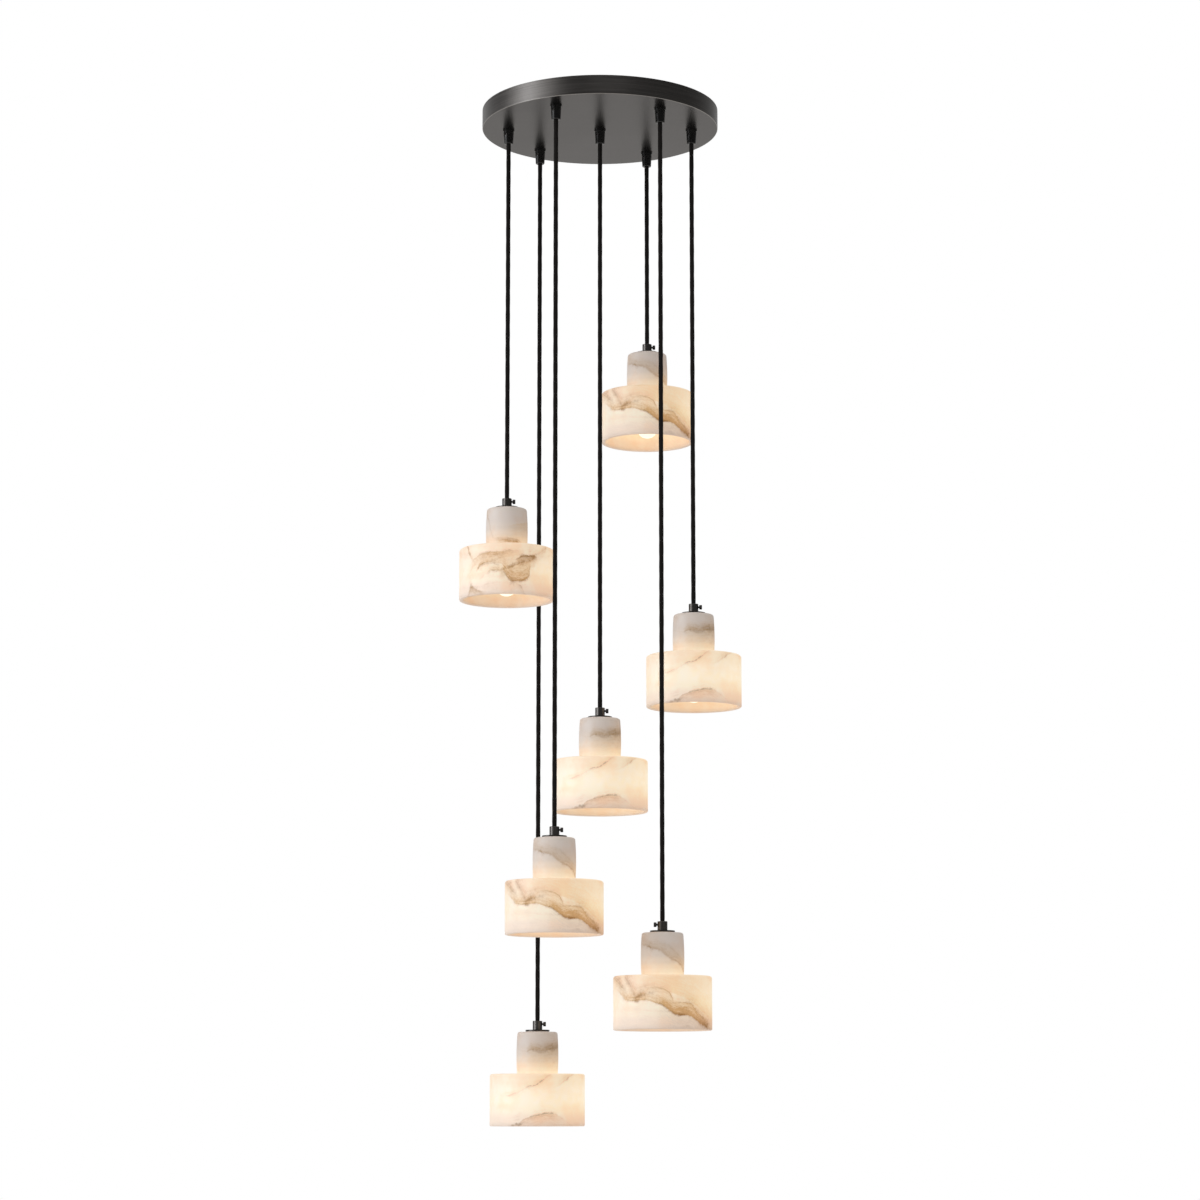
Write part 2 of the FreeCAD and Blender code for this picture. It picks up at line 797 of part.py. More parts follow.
def hangingCord(number, outlet):
    """The cord below the grip: a straight run under the shade's weight. Its round top end sits in the grip's mouth,
    where it swings, and its foot ends inside the lamp holder's collar."""
    length = gripMouth - outlet["rim"] - holderTop + s.cordIntoHolder
    radius = s.cordRadius
    body = doc.addObject("PartDesign::Body", f"Cord{number}")
    sketch = newSketch(body, f"CordProfile{number}", "XZ_Plane")
    outline(sketch, [(0, -length), (radius, -length), (radius, 0, radius), (0, radius)])
    turn = body.newObject("PartDesign::Revolution", f"CordTurn{number}")
    turn.Profile = sketch
    turn.ReferenceAxis = (sketch, ["V_Axis"])
    turn.Angle = 360
    doc.recompute()
    place(body, outlet["x"], outlet["y"], gripMouth)
    return node(body, f"cord_{number}")


def cordCap(number, outlet, turn):
    """The small collar on the neck, bored for the cord above and tapped for the nipple below."""
    cap = turned(
        f"CordCap{number}",
        [
            (nippleRadius + s.threadGap, 0),
            (s.capRadius, 0),
            (s.capRadius, s.capHeight),
            (s.cordRadius + s.cordGap, s.capHeight),
            (s.cordRadius + s.cordGap, s.nippleIntoCap + s.threadGap),
            (nippleRadius + s.threadGap, s.nippleIntoCap + s.threadGap),
        ],
    )
    rounded(cap, f"CapRound{number}", s.capRound, [(s.capRadius, s.capHeight)])
    tap = [(0, s.knobLevel, s.shankRadius + s.threadGap)]
    drilled(cap, f"CapTap{number}", "YZ_Plane", tap, length=s.capRadius * 2, backwards=True)
    place(cap, outlet["x"], outlet["y"], outlet["rim"] + discTop, turn)
    return node(cap, f"cord_cap_{number}")


def thumbscrew(number, outlet, turn):
    """The side screw with a round knob that pinches the cord in its collar."""
    tip = s.cordRadius + s.threadGap
    foot = s.capRadius + s.knobStandoff
    screw = turned(
        f"Thumbscrew{number}",
        [
            (tip, 0),
            (foot + s.knobLength, 0),
            (foot + s.knobLength, s.knobRadius),
            (foot, s.knobRadius),
            (foot, s.shankRadius),
            (tip, s.shankRadius),
        ],
        axis="H_Axis",
    )
    axis = FreeCAD.Vector(1, 0, 0)
    edges = [(s.knobRadius, foot + s.knobLength), (s.knobRadius, foot)]
    rounded(screw, f"KnobRound{number}", s.knobRound, edges, axis)
    place(screw, outlet["x"], outlet["y"], outlet["rim"] + discTop + s.knobLevel, turn)
    return node(screw, f"thumbscrew_{number}")


def neckClamp(number, outlet):
    """What clamps the stone: cover disc and gasket above its neck, plate below, on one hollow nipple."""
    bore = nippleRadius + s.threadGap
    foot = holderTop - s.holderCollarHeight
    gasket = washer(f"Gasket{number}", bore, s.gasketRadius, shadeTop, discTop - s.discThick)
    disc = washer(f"Disc{number}", bore, s.discRadius, discTop - s.discThick, discTop)
    plate = washer(f"ClampPlate{number}", bore, s.plateRadius, holderTop, boreTop)
    nipple = washer(f"Nipple{number}", nippleBore, nippleRadius, foot, discTop + s.nippleIntoCap)
    rounded(disc, f"DiscRound{number}", s.discRound, [(s.discRadius, discTop)])
    pieces = [gasket, disc, plate, nipple]
    for piece in pieces:
        place(piece, outlet["x"], outlet["y"], outlet["rim"])
    return grouped(f"neck_clamp_{number}", pieces)


def shade(number, outlet):
    """One turned piece of stone: a wide drum open below, and a slightly barrelled neck above."""
    inner = s.drumRadius - s.drumWall
    body = turned(
        f"Shade{number}",
        [
            (inner, 0),
            (s.drumRadius, 0),
            (s.drumRadius, s.drumHeight),
            (s.neckFootRadius, s.drumHeight, s.neckBarrel),
            (s.neckTopRadius, shadeTop),
            (nippleRadius + s.nippleHoleGap, shadeTop),
            (nippleRadius + s.nippleHoleGap, boreTop),
            (s.neckBore, boreTop),
            (s.neckBore, boreFoot),
            (inner, boreFoot),
        ],
    )
    soft = [(s.drumRadius, s.drumHeight), (s.neckTopRadius, shadeTop), (inner, boreFoot)]
    rounded(body, f"StoneRound{number}", s.stoneRound, soft)
    rounded(body, f"RimRound{number}", s.rimRound, [(s.drumRadius, 0), (inner, 0)])
    place(body, outlet["x"], outlet["y"], outlet["rim"])
    return node(body, f"shade_{number}")


def lampHolder(number, outlet):
    """The holder inside the neck: an insulating cup on the nipple, its threaded liner and the centre contact."""
    shell = s.holderRadius
    inner = shell - s.holderWall
    shoulder = holderTop - s.holderCollarHeight
    bore = nippleRadius + s.threadGap
    cup = turned(
        f"HolderCup{number}",
        [
            (bore, holderTop),
            (bore, shoulder - s.holderRoof),
            (inner, shoulder - s.holderRoof),
            (inner, holderFoot),
            (shell, holderFoot),
            (shell, shoulder),
            (s.holderCollar, shoulder),
            (s.holderCollar, holderTop),
        ],
    )
    rounded(cup, f"HolderRound{number}", s.rimRound, [(shell, shoulder)])
    linerRadius = s.screwBaseRadius + s.baseGap
    linerOuter = linerRadius + s.linerWall
    linerFoot = holderFoot + s.linerDrop
    lipRadius = s.contactRadius + s.contactGap
    liner = turned(
        f"HolderLiner{number}",
        [
            (linerRadius, floorFoot - s.linerWall),
            (linerRadius, linerFoot),
            (linerOuter, linerFoot),
            (linerOuter, floorFoot),
            (lipRadius, floorFoot),
            (lipRadius, floorFoot - s.linerWall),
        ],
    )
    floor = washer(f"HolderFloor{number}", s.floorBore, inner, floorFoot, floorFoot + s.floorThick)
    contact = washer(f"HolderContact{number}", s.contactBore, s.contactRadius, floorFoot - s.contactThick, floorFoot)
    for piece in (cup, liner, floor, contact):
        place(piece, outlet["x"], outlet["y"], outlet["rim"])
    return grouped(f"lamp_holder_{number}", [cup, liner, floor, contact])


def lamp(number, outlet):
    """A frosted tubular lamp with a round end, and its screw base with the insulated tip."""
    baseTop = floorFoot - s.contactThick - s.baseGap - s.tipThick
    baseFoot = baseTop - s.screwBaseLength
    radius = s.glassRadius
    inside = radius - s.glassWall
    domeLevel = s.glassAboveRim + radius
    shoulder = baseFoot - (radius - glassNeck)
    glass = glassTube(number, radius, inside, domeLevel, shoulder, baseFoot)
    baseInner = s.screwBaseRadius - s.baseWall
    base = turned(
        f"LampBase{number}",
        [
            (baseInner, baseFoot),
            (s.screwBaseRadius, baseFoot),
            (s.screwBaseRadius, baseTop - s.baseShoulder),
            (s.tipRadius + s.baseWall, baseTop),
            (s.tipRadius, baseTop),
            (s.tipRadius, baseTop - s.baseWall),
            (baseInner, baseTop - s.baseShoulder - s.baseWall),
        ],
    )
    tip = turned(
        f"LampTip{number}",
        [
            (0, baseTop - s.baseWall),
            (s.tipRadius, baseTop - s.baseWall),
            (s.tipRadius, baseTop),
            (s.tipNose, baseTop + s.tipThick),
            (0, baseTop + s.tipThick),
        ],
    )
    pieces = [glass, base, tip]
    for piece in pieces:
        place(piece, outlet["x"], outlet["y"], outlet["rim"])
    return grouped(f"lamp_{number}", pieces)


def glassTube(number, radius, inside, domeLevel, shoulder, baseFoot):
    """The lamp's glass: a half-round end, a straight tube, and a neck that goes into the base."""
    body = doc.addObject("PartDesign::Body", f"LampGlass{number}")
    sketch = newSketch(body, f"GlassProfile{number}", "XZ_Plane")
    neckInside = glassNeck - s.glassWall
    neckTop = baseFoot + s.glassIntoBase
    outline(
        sketch,
        [
            (0, domeLevel - radius, radius),
            (radius, domeLevel),
            (radius, shoulder),
            (glassNeck, baseFoot - s.glassWall),
            (glassNeck, neckTop),
            (neckInside, neckTop),
            (neckInside, baseFoot - s.glassWall),
            (inside, shoulder),
            (inside, domeLevel, -inside),
            (0, domeLevel - inside),
        ],
    )
    turn = body.newObject("PartDesign::Revolution", f"GlassTurn{number}")
    turn.Profile = sketch
    turn.ReferenceAxis = (sketch, ["V_Axis"])
    turn.Angle = 360
    doc.recompute()
    return body


canopyCover()
mountingBar()
sideScrews()
earthScrew()
gripCones()
gripScrews()
gripNipples()
lockNuts()
terminalBlock()
clampScrews()
cordTails()
for pendant in pendants:
    number = pendant["number"]
    outlet = outlets[number]
    hangingCord(number, outlet)
    cordCap(number, outlet, pendant["knobSide"])
    thumbscrew(number, outlet, pendant["knobSide"])
    neckClamp(number, outlet)
    shade(number, outlet)
    lampHolder(number, outlet)
    lamp(number, outlet)

doc.recompute()
for thing in doc.Objects:
    if "Invalid" in thing.State or "Error" in thing.State:
        raise RuntimeError(f"{thing.Name} is {thing.State}")
for label, thing in nodes.items():
    if thing.Shape.isNull() or not thing.Shape.isValid():
        raise RuntimeError(f"{label} has no sound shape")

os.makedirs("parts", exist_ok=True)
for label, thing in nodes.items():
    thing.Shape.exportStep(f"parts/{label}.step")
print(f"{len(nodes)} nodes, {sum(len(thing.Shape.Solids) for thing in nodes.values())} solids")
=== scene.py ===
import math

import bpy
from mathutils import Matrix, Vector


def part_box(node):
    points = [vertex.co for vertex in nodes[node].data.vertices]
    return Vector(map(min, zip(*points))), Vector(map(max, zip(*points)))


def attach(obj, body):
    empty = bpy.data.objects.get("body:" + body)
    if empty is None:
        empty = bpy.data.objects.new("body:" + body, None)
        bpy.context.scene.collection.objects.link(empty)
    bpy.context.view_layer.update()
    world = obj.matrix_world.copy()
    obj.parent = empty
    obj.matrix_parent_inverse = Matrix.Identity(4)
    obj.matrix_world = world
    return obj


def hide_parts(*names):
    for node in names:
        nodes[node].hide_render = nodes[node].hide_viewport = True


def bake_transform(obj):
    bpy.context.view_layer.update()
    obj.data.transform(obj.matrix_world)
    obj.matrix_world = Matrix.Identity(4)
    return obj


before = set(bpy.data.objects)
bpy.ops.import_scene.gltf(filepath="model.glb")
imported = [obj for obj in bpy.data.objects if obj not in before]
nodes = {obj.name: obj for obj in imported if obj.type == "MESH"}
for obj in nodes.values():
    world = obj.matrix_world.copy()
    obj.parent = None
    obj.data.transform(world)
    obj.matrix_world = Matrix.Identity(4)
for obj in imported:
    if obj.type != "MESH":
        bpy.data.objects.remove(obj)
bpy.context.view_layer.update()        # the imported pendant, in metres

mm = 0.001
numbers = range(1, 8)


def boxCentre(node):
    low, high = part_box(node)
    return (low + high) / 2


# each shade's upright axis and the height of its rim
rims = {}
for number in numbers:
    middle = boxCentre(f"shade_{number}")
    rims[number] = Vector((middle.x, middle.y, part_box(f"shade_{number}")[0].z))
print("frame loaded:", len(nodes), "nodes")


# Shader maths
class Wire:
    # one output of a shader node, which takes part in sums
    def __init__(self, finish, socket):
        self.finish = finish
        self.socket = socket

    def __add__(self, other):
        return self.finish.maths("ADD", self, other)

    def __radd__(self, other):
        return self.finish.maths("ADD", other, self)

    def __sub__(self, other):
        return self.finish.maths("SUBTRACT", self, other)

    def __rsub__(self, other):
        return self.finish.maths("SUBTRACT", other, self)

    def __mul__(self, other):
        return self.finish.maths("MULTIPLY", self, other)

    def __rmul__(self, other):
        return self.finish.maths("MULTIPLY", other, self)

    def __truediv__(self, other):
        return self.finish.maths("DIVIDE", self, other)

    def __rtruediv__(self, other):
        return self.finish.maths("DIVIDE", other, self)

    def __neg__(self):
        return self.finish.maths("MULTIPLY", self, -1)


class Finish:
    # a material, or the world, and the nodes that make it
    def __init__(self, name, tree=None):
        if tree is None:
            self.material = bpy.data.materials.new(name)
            self.material.use_nodes = True
            tree = self.material.node_tree
            self.shader = tree.nodes["Principled BSDF"]
        self.tree = tree

    def add(self, kind, settings=None, inputs=None):
        made = self.tree.nodes.new(kind)
        for word, value in (settings or {}).items():
            if word == "stops":
                self.setStops(made.color_ramp, value)
            elif word == "interpolation":
                made.color_ramp.interpolation = value
            else:
                setattr(made, word, value)
        for word, value in (inputs or {}).items():
            self.feed(made.inputs[word], value)
        return made

    def node(self, kind, settings=None, inputs=None, out=0):
        return Wire(self, self.add(kind, settings, inputs).outputs[out])

    def wires(self, made, count):
        return [Wire(self, made.outputs[i]) for i in range(count)]

    def setStops(self, ramp, stops):
        while len(ramp.elements) > 1:
            ramp.elements.remove(ramp.elements[-1])
        for i, (place, colour) in enumerate(stops):
            stop = ramp.elements[0] if i == 0 else ramp.elements.new(place)
            stop.position = place
            stop.color = colour

    def feed(self, socket, value):
        if isinstance(value, Wire):
            self.tree.links.new(value.socket, socket)
        else:
            socket.default_value = value

    def maths(self, operation, *values):
        return self.node("ShaderNodeMath", {"operation": operation}, dict(enumerate(values)))

    def vector(self, operation, *values):
        return self.node("ShaderNodeVectorMath", {"operation": operation}, dict(enumerate(values)))

    def mix(self, factor, first, second):
        return self.node("ShaderNodeMix", {"data_type": "RGBA"}, {0: factor, 6: first, 7: second}, out=2)

    def ramp(self, value, stops, interpolation="LINEAR"):
        settings = {"interpolation": interpolation, "stops": stops}
        return self.node("ShaderNodeValToRGB", settings, {"Fac": value}, out="Color")

    def step(self, value, low, high):
        settings = {"interpolation_type": "SMOOTHSTEP"}
        inputs = {"Value": value, "From Min": low, "From Max": high}
        return self.node("ShaderNodeMapRange", settings, inputs, out="Result")

    def noise(self, place, scale, detail=2.0, rough=0.5, out="Fac"):
        inputs = {"Vector": place, "Scale": scale, "Detail": detail, "Roughness": rough}
        return self.node("ShaderNodeTexNoise", None, inputs, out)

    def parts(self, vector):
        return self.wires(self.add("ShaderNodeSeparateXYZ", None, {"Vector": vector}), 3)

    def object(self, shift=(0, 0, 0), scale=(1, 1, 1)):
        # the object's own coordinates, scaled and then moved
        place = self.node("ShaderNodeTexCoord", out="Object")
        return self.node("ShaderNodeMapping", None, {"Vector": place, "Location": shift, "Scale": scale})

    def set(self, **inputs):
        for word, value in inputs.items():
            self.feed(self.shader.inputs[word.replace("_", " ")], value)

    def bump(self, height, distance, strength=1.0):
        inputs = {"Height": height, "Distance": distance, "Strength": strength}
        self.set(Normal=self.node("ShaderNodeBump", None, inputs, out="Normal"))


def paint(node, finish):
    target = nodes[node] if isinstance(node, str) else node
    target.data.materials.clear()
    target.data.materials.append(finish.material)
    for face in target.data.polygons:
        face.material_index = 0


# Alabaster, in millimetres from the middle of each shade's rim
# A mark is a vein or a cloud's edge: points (across, height above the rim, strength), seen from the front.
# Its line is a width and a darkness, and each cloud is its side (1 is above), reach, strength and tint.
# A noise is its scale for a millimetre, its detail and its roughness. A range is where a soft step goes from
# 0 to 1.
stone = {
    "radius": 69.0,
    "neckRadius": 29.3,
    "shoulder": (74.0, 76.0),     # height where the neck starts
    "innerWall": (64.0, 65.0),    # radius of the drum's inner wall
    "roof": (65.0, 67.0),         # height of the drum's roof, inside
    "lean": 0.28,
    "half": 90.0,
    "lowest": -80.0,
    "span": 260.0,
    "warp": [(0.05, 1.2), (0.16, 1.5), (0.45, 0.8)],
    "grain": (0.35, 3.0, 0.6),
    "patches": (0.11, 3.0, 0.6),
    "brokenRange": (0.38, 0.62),
    "streaks": (0.06, 0.4),
    "streakGrain": (1.0, 3.0, 0.65),
    "fibreRange": (0.3, 0.7),
    "softness": 0.3,
    "smudge": 1.5,
    "patchy": (0.45, 0.8),        # a line's least strength, and what the patches add
    "cloudEdge": (-0.6, 0.9),
    "fibrous": (0.6, 0.55),       # a cloud's, and what the fibres add
    "mottle": (0.4, 1.2),         # the tints', and what the grain adds
    "veil": (0.024, 3.0, 0.6),
    "veilRange": (0.4, 0.7),
    "pale": (0.70, 0.655, 0.63, 1),
    "peach": (0.70, 0.60, 0.53, 1),
    "tints": {
        "warm": (0.65, 0.52, 0.37, 1),
        "rosy": (0.60, 0.45, 0.36, 1),
        "amber": (0.51, 0.355, 0.205, 1),
        "grey": (0.48, 0.37, 0.25, 1),
        "smoke": (0.33, 0.205, 0.095, 1),
        "milk": (0.61, 0.56, 0.54, 1),
    },
    "brown": {
        "band": (0.29, 0.155, 0.045, 1),
        "arc": (0.29, 0.155, 0.045, 1),
        "mound": (0.19, 0.125, 0.062, 1),
    },
    # clear and innerGlow give each pattern's strength of the painted lamplight, through its colour and inside
    # the drum; depth is how dark its lines are
    "clear": {"band": (1.47, 1.52, 1.62), "arc": (1.46, 1.48, 1.55), "mound": (1.49, 1.55, 1.65)},
    "depth": {"band": 1.35, "arc": 1.05, "mound": 0.8},
    "innerGlow": {"band": 1.22, "arc": 0.86, "mound": 0.9},
    # what the painted lamplight gains towards the shade's right side
    "paintedRightGlow": 0.16,
    "uneven": (0.03, 0.9, 0.2),   # scale of the glow's patches, the least share of it and what they add
    # the painted lamplight by height above the rim: where its ramp starts, its length, and its colour at each
    # height
    "glowFrom": -10.0,
    "glowSpan": 160.0,
    "glow": [
        (0, (0.20, 0.13, 0.06)), (9, (0.32, 0.23, 0.12)), (24, (0.39, 0.34, 0.19)),
        (37, (0.42, 0.40, 0.25)), (50, (0.41, 0.37, 0.23)), (64, (0.38, 0.31, 0.16)),
        (72, (0.37, 0.28, 0.13)), (77, (0.37, 0.32, 0.18)), (81, (0.32, 0.26, 0.13)),
        (87, (0.26, 0.20, 0.09)), (95, (0.16, 0.115, 0.05)), (105, (0.06, 0.04, 0.015)),
        (117, (0.02, 0.01, 0.005)), (140, (0.005, 0.003, 0.001)),
    ],
    "roughness": (0.42, 0.2),
    "specular": 0.35,
    "bump": (0.0002, 0.4),
}

bandMarks = [
    {
        "path": [
            (-66, 58, 0), (-60, 50, 0.3), (-56, 44, 0.5), (-52, 40, 0.55), (-45.5, 39.8, 0.5),
            (-39, 39, 0.6), (-32.5, 40.2, 0.6), (-24.5, 39.1, 0.45), (-16.4, 37.9, 0.45), (-9, 35.5, 0.6),
            (-1.8, 33.4, 0.75), (3, 30, 0.9), (8, 26, 1.0), (14.4, 21.8, 1.0), (21, 19.4, 1.0),
            (29, 20.2, 1.0), (37, 18.1, 1.0), (43.6, 14.2, 1.0), (50, 8.7, 0.9), (56.5, 4.7, 0.8),
            (62, 2.4, 0.6), (69, -3, 0.2),
        ],
        "line": (1.7, 0.3),
        "clouds": [(1, 15, 1.4, "amber"), (-1, 70, 0.85, "milk")],
    },
    {
        "path": [
            (-40, 56, 0), (-25, 58, 0.6), (0, 55, 0.9), (25, 45, 1.0), (45, 34, 1.0), (60, 20, 0.8),
            (69, 10, 0.6),
        ],
        "line": (1.5, 0),
        "clouds": [(1, 45, 0.6, "warm")],
    },
    {
        "path": [
            (-43, 42.5, 0), (-38, 44.3, 0.8), (-34, 46, 1.0), (-29, 47.7, 0.9), (-24, 49, 0.6),
            (-18, 50, 0.4), (-11, 51, 0),
        ],
        "line": (2.4, 0.45),
        "clouds": [(1, 6, 0.7, "rosy"), (-1, 4, 0.4, "amber")],
    },
    {
        "path": [
            (-72, 79, 0.2), (-68, 74, 0.7), (-63, 67, 0.9), (-58.5, 61.6, 0.8), (-54.4, 57, 0.5),
            (-50, 54, 0),
        ],
        "line": (3.4, 0.28),
        "clouds": [(-1, 7, 0.8, "amber"), (1, 12, 0.8, "rosy")],
    },
    {
        "path": [
            (-56, 76, 0), (-52, 71, 0.6), (-48.7, 65, 0.8), (-45.5, 60, 0.9), (-43, 55, 0.9),
            (-40.7, 50.5, 0.8), (-37.4, 44, 0.7), (-34, 40, 0),
        ],
        "line": (5.0, 0.24),
        "clouds": [(1, 20, 0.85, "rosy"), (-1, 8, 0.5, "rosy")],
    },
    {
        "path": [
            (-36, 47, 0), (-32, 51, 0.5), (-27, 55, 0.6), (-22.8, 57, 0.6), (-14.7, 58.4, 0.6),
            (-5, 56.5, 0.6), (1, 55.8, 0.7), (5, 54.5, 0.8), (9, 50.5, 0.9), (11.5, 45, 0.9), (13, 38, 0.5),
            (15, 32, 0),
        ],
        "line": (2.8, 0.1),
        "clouds": [(-1, 9, 0.9, "amber"), (1, 8, 0.6, "rosy")],
    },
    {
        "path": [
            (9, 38, 0), (12.8, 36.6, 0.4), (21, 37.9, 0.6), (30.6, 36.6, 0.7), (37, 35.5, 0.8),
            (41, 33, 0.9), (45, 27.5, 0.9), (49, 22, 0.9), (55, 15.5, 0.9), (60, 8, 0.6), (64, 2, 0),
        ],
        "line": (2.0, 0.14),
        "clouds": [(-1, 14, 1.0, "amber"), (1, 14, 0.5, "amber")],
    },
    {
        "path": [(48, 13, 0), (52, 10, 0.7), (56, 7, 1.0), (59, 5, 1.0), (62, 6, 0.8), (64, 8, 0)],
        "line": (3.0, 0.5),
        "clouds": [],
    },
    {
        "path": [(-13, 37, 0), (-9, 35.5, 0.9), (-5, 34.6, 1.0), (-1, 33, 1.0), (2, 31, 0.5), (5, 29, 0)],
        "line": (1.6, 0.5),
        "clouds": [],
    },
    {
        "path": [
            (9, 25.5, 0), (14.4, 21.8, 0.9), (21, 19.4, 1.0), (29, 20.2, 1.0), (34, 19.5, 0.8),
            (38, 17.5, 0),
        ],
        "line": (1.7, 0.55),
        "clouds": [],
    },
    {
        "path": [(-46, 39.8, 0), (-41, 39, 0.8), (-38, 38.8, 1.0), (-34, 39.8, 0.6), (-30, 40.2, 0)],
        "line": (2.0, 0.45),
        "clouds": [],
    },
    {
        "path": [(34, 19, 0), (39, 16.5, 0.6), (44, 13.5, 0.8), (50, 8.5, 0.8), (55, 5, 0.5), (60, 2, 0)],
        "line": (2.8, 0.3),
        "clouds": [(-1, 4, 0.4, "grey")],
    },
    {
        "path": [(22, 3, 0), (28, 4.5, 0.7), (32, 5, 0.7), (36, 3, 0.3), (40, 0, 0)],
        "line": (1.8, 0.2),
        "clouds": [(-1, 5, 0.3, "grey")],
    },
]
bandNeckMarks = [
    {
        "path": [
            (-31, 119, 0.3), (-27.7, 117.7, 0.5), (-21, 116, 0.7), (-18, 113.5, 0.9), (-10, 112, 0.9),
            (-4, 110.5, 0.8), (0, 107.6, 0.8), (5.7, 101.7, 0.8), (11.4, 97.5, 0.9), (18, 95, 0.9),
            (24.5, 90.7, 0.9), (27.7, 84, 0.8), (30, 78, 0.5),
        ],
        "line": (2.2, 0.13),
        "clouds": [(1, 8, 0.2, "grey"), (1, 13, 0.52, "amber")],
    },
    {
        "path": [(-25, 118, 0), (-21, 117, 0.9), (-17, 113.5, 1.0), (-12, 112.5, 0.6), (-8, 112, 0)],
        "line": (1.8, 0.3),
        "clouds": [],
    },
    {
        "path": [
            (-10, 119, 0), (-3, 120, 0.4), (3.3, 119.4, 0.6), (9.8, 116, 0.7), (16.3, 110, 0.8),
            (24.5, 104, 0.8), (29, 97, 0.6),
        ],
        "line": (2.0, 0.08),
        "clouds": [(-1, 8, 0.1, "grey"), (-1, 10, 0.3, "warm")],
    },
]
moundMarks = [
    {
        "path": [
            (-46, 43, 0), (-40, 44.5, 0.3), (-33.4, 45.5, 0.5), (-23.7, 49.8, 0.5), (-15.7, 54.4, 0.8),
            (-6, 57.8, 1.0), (2, 60.3, 1.0), (7, 63, 1.0), (11.8, 67.9, 0.8), (16.6, 71.2, 0.5),
            (24, 75, 0.2), (34, 79, 0),
        ],
        "line": (0.9, 0.34),
        "clouds": [(1, 9, 0.3, "warm"), (-1, 5, 0.2, "warm")],
    },
    {
        "path": [(-48, 48, 0), (-41, 50.5, 0.8), (-34, 49, 0.6), (-28, 48, 0)],
        "line": (1.3, 0),
        "clouds": [(-1, 6, 0.4, "warm")],
    },
    {
        "path": [(24, 53, 0), (34.4, 59.8, 0.6), (42.4, 65.9, 0.9), (48.9, 70.5, 0.7), (56, 76, 0)],
        "line": (1.1, 0.2),
        "clouds": [(1, 8, 0.34, "amber")],
    },
    {
        "path": [
            (-42, -2, 0), (-33.4, 2.1, 0.5), (-25.3, 3.6, 0.8), (-20.5, 8.3, 0.8), (-14, 12.1, 0.8),
            (-6, 15.7, 0.9), (2, 16.8, 1.0), (10.2, 17.9, 1.0), (19.9, 19.4, 1.0), (26.3, 18.0, 0.8),
            (32.8, 14.5, 0.4), (40, 9.5, 0.2), (48, 4, 0.1), (58, -3, 0),
        ],
        "line": (1.1, 0.3),
        "clouds": [(-1, 24, 0.5, "rosy"), (-1, 6, 0.25, "amber")],
    },
    {
        "path": [(-40, 1, 0), (-33, 2, 0.7), (-29, 2.8, 1.0), (-24, 3.4, 1.0), (-20, 5, 0.5), (-15, 6, 0)],
        "line": (2.0, 0.5),
        "clouds": [],
    },
]
moundNeckMarks = [
    {
        "path": [
            (-16, 105, 0), (-10.8, 108.4, 0.7), (-6, 109.5, 0.9), (0.5, 107.5, 0.8), (10, 106.7, 0.8),
            (18, 109.5, 1.0), (26, 112, 1.0), (33, 113, 0.8),
        ],
        "line": (2.2, 0.22),
        "clouds": [(1, 9, 0.9, "amber"), (1, 7, 0.35, "grey"), (-1, 18, 0.55, "warm")],
    },
    {
        "path": [(8, 113, 0), (15, 112, 0.7), (21, 113, 1.0), (27, 115, 1.0), (33, 116, 0.8)],
        "line": (4.0, 0.3),
        "clouds": [],
    },
]
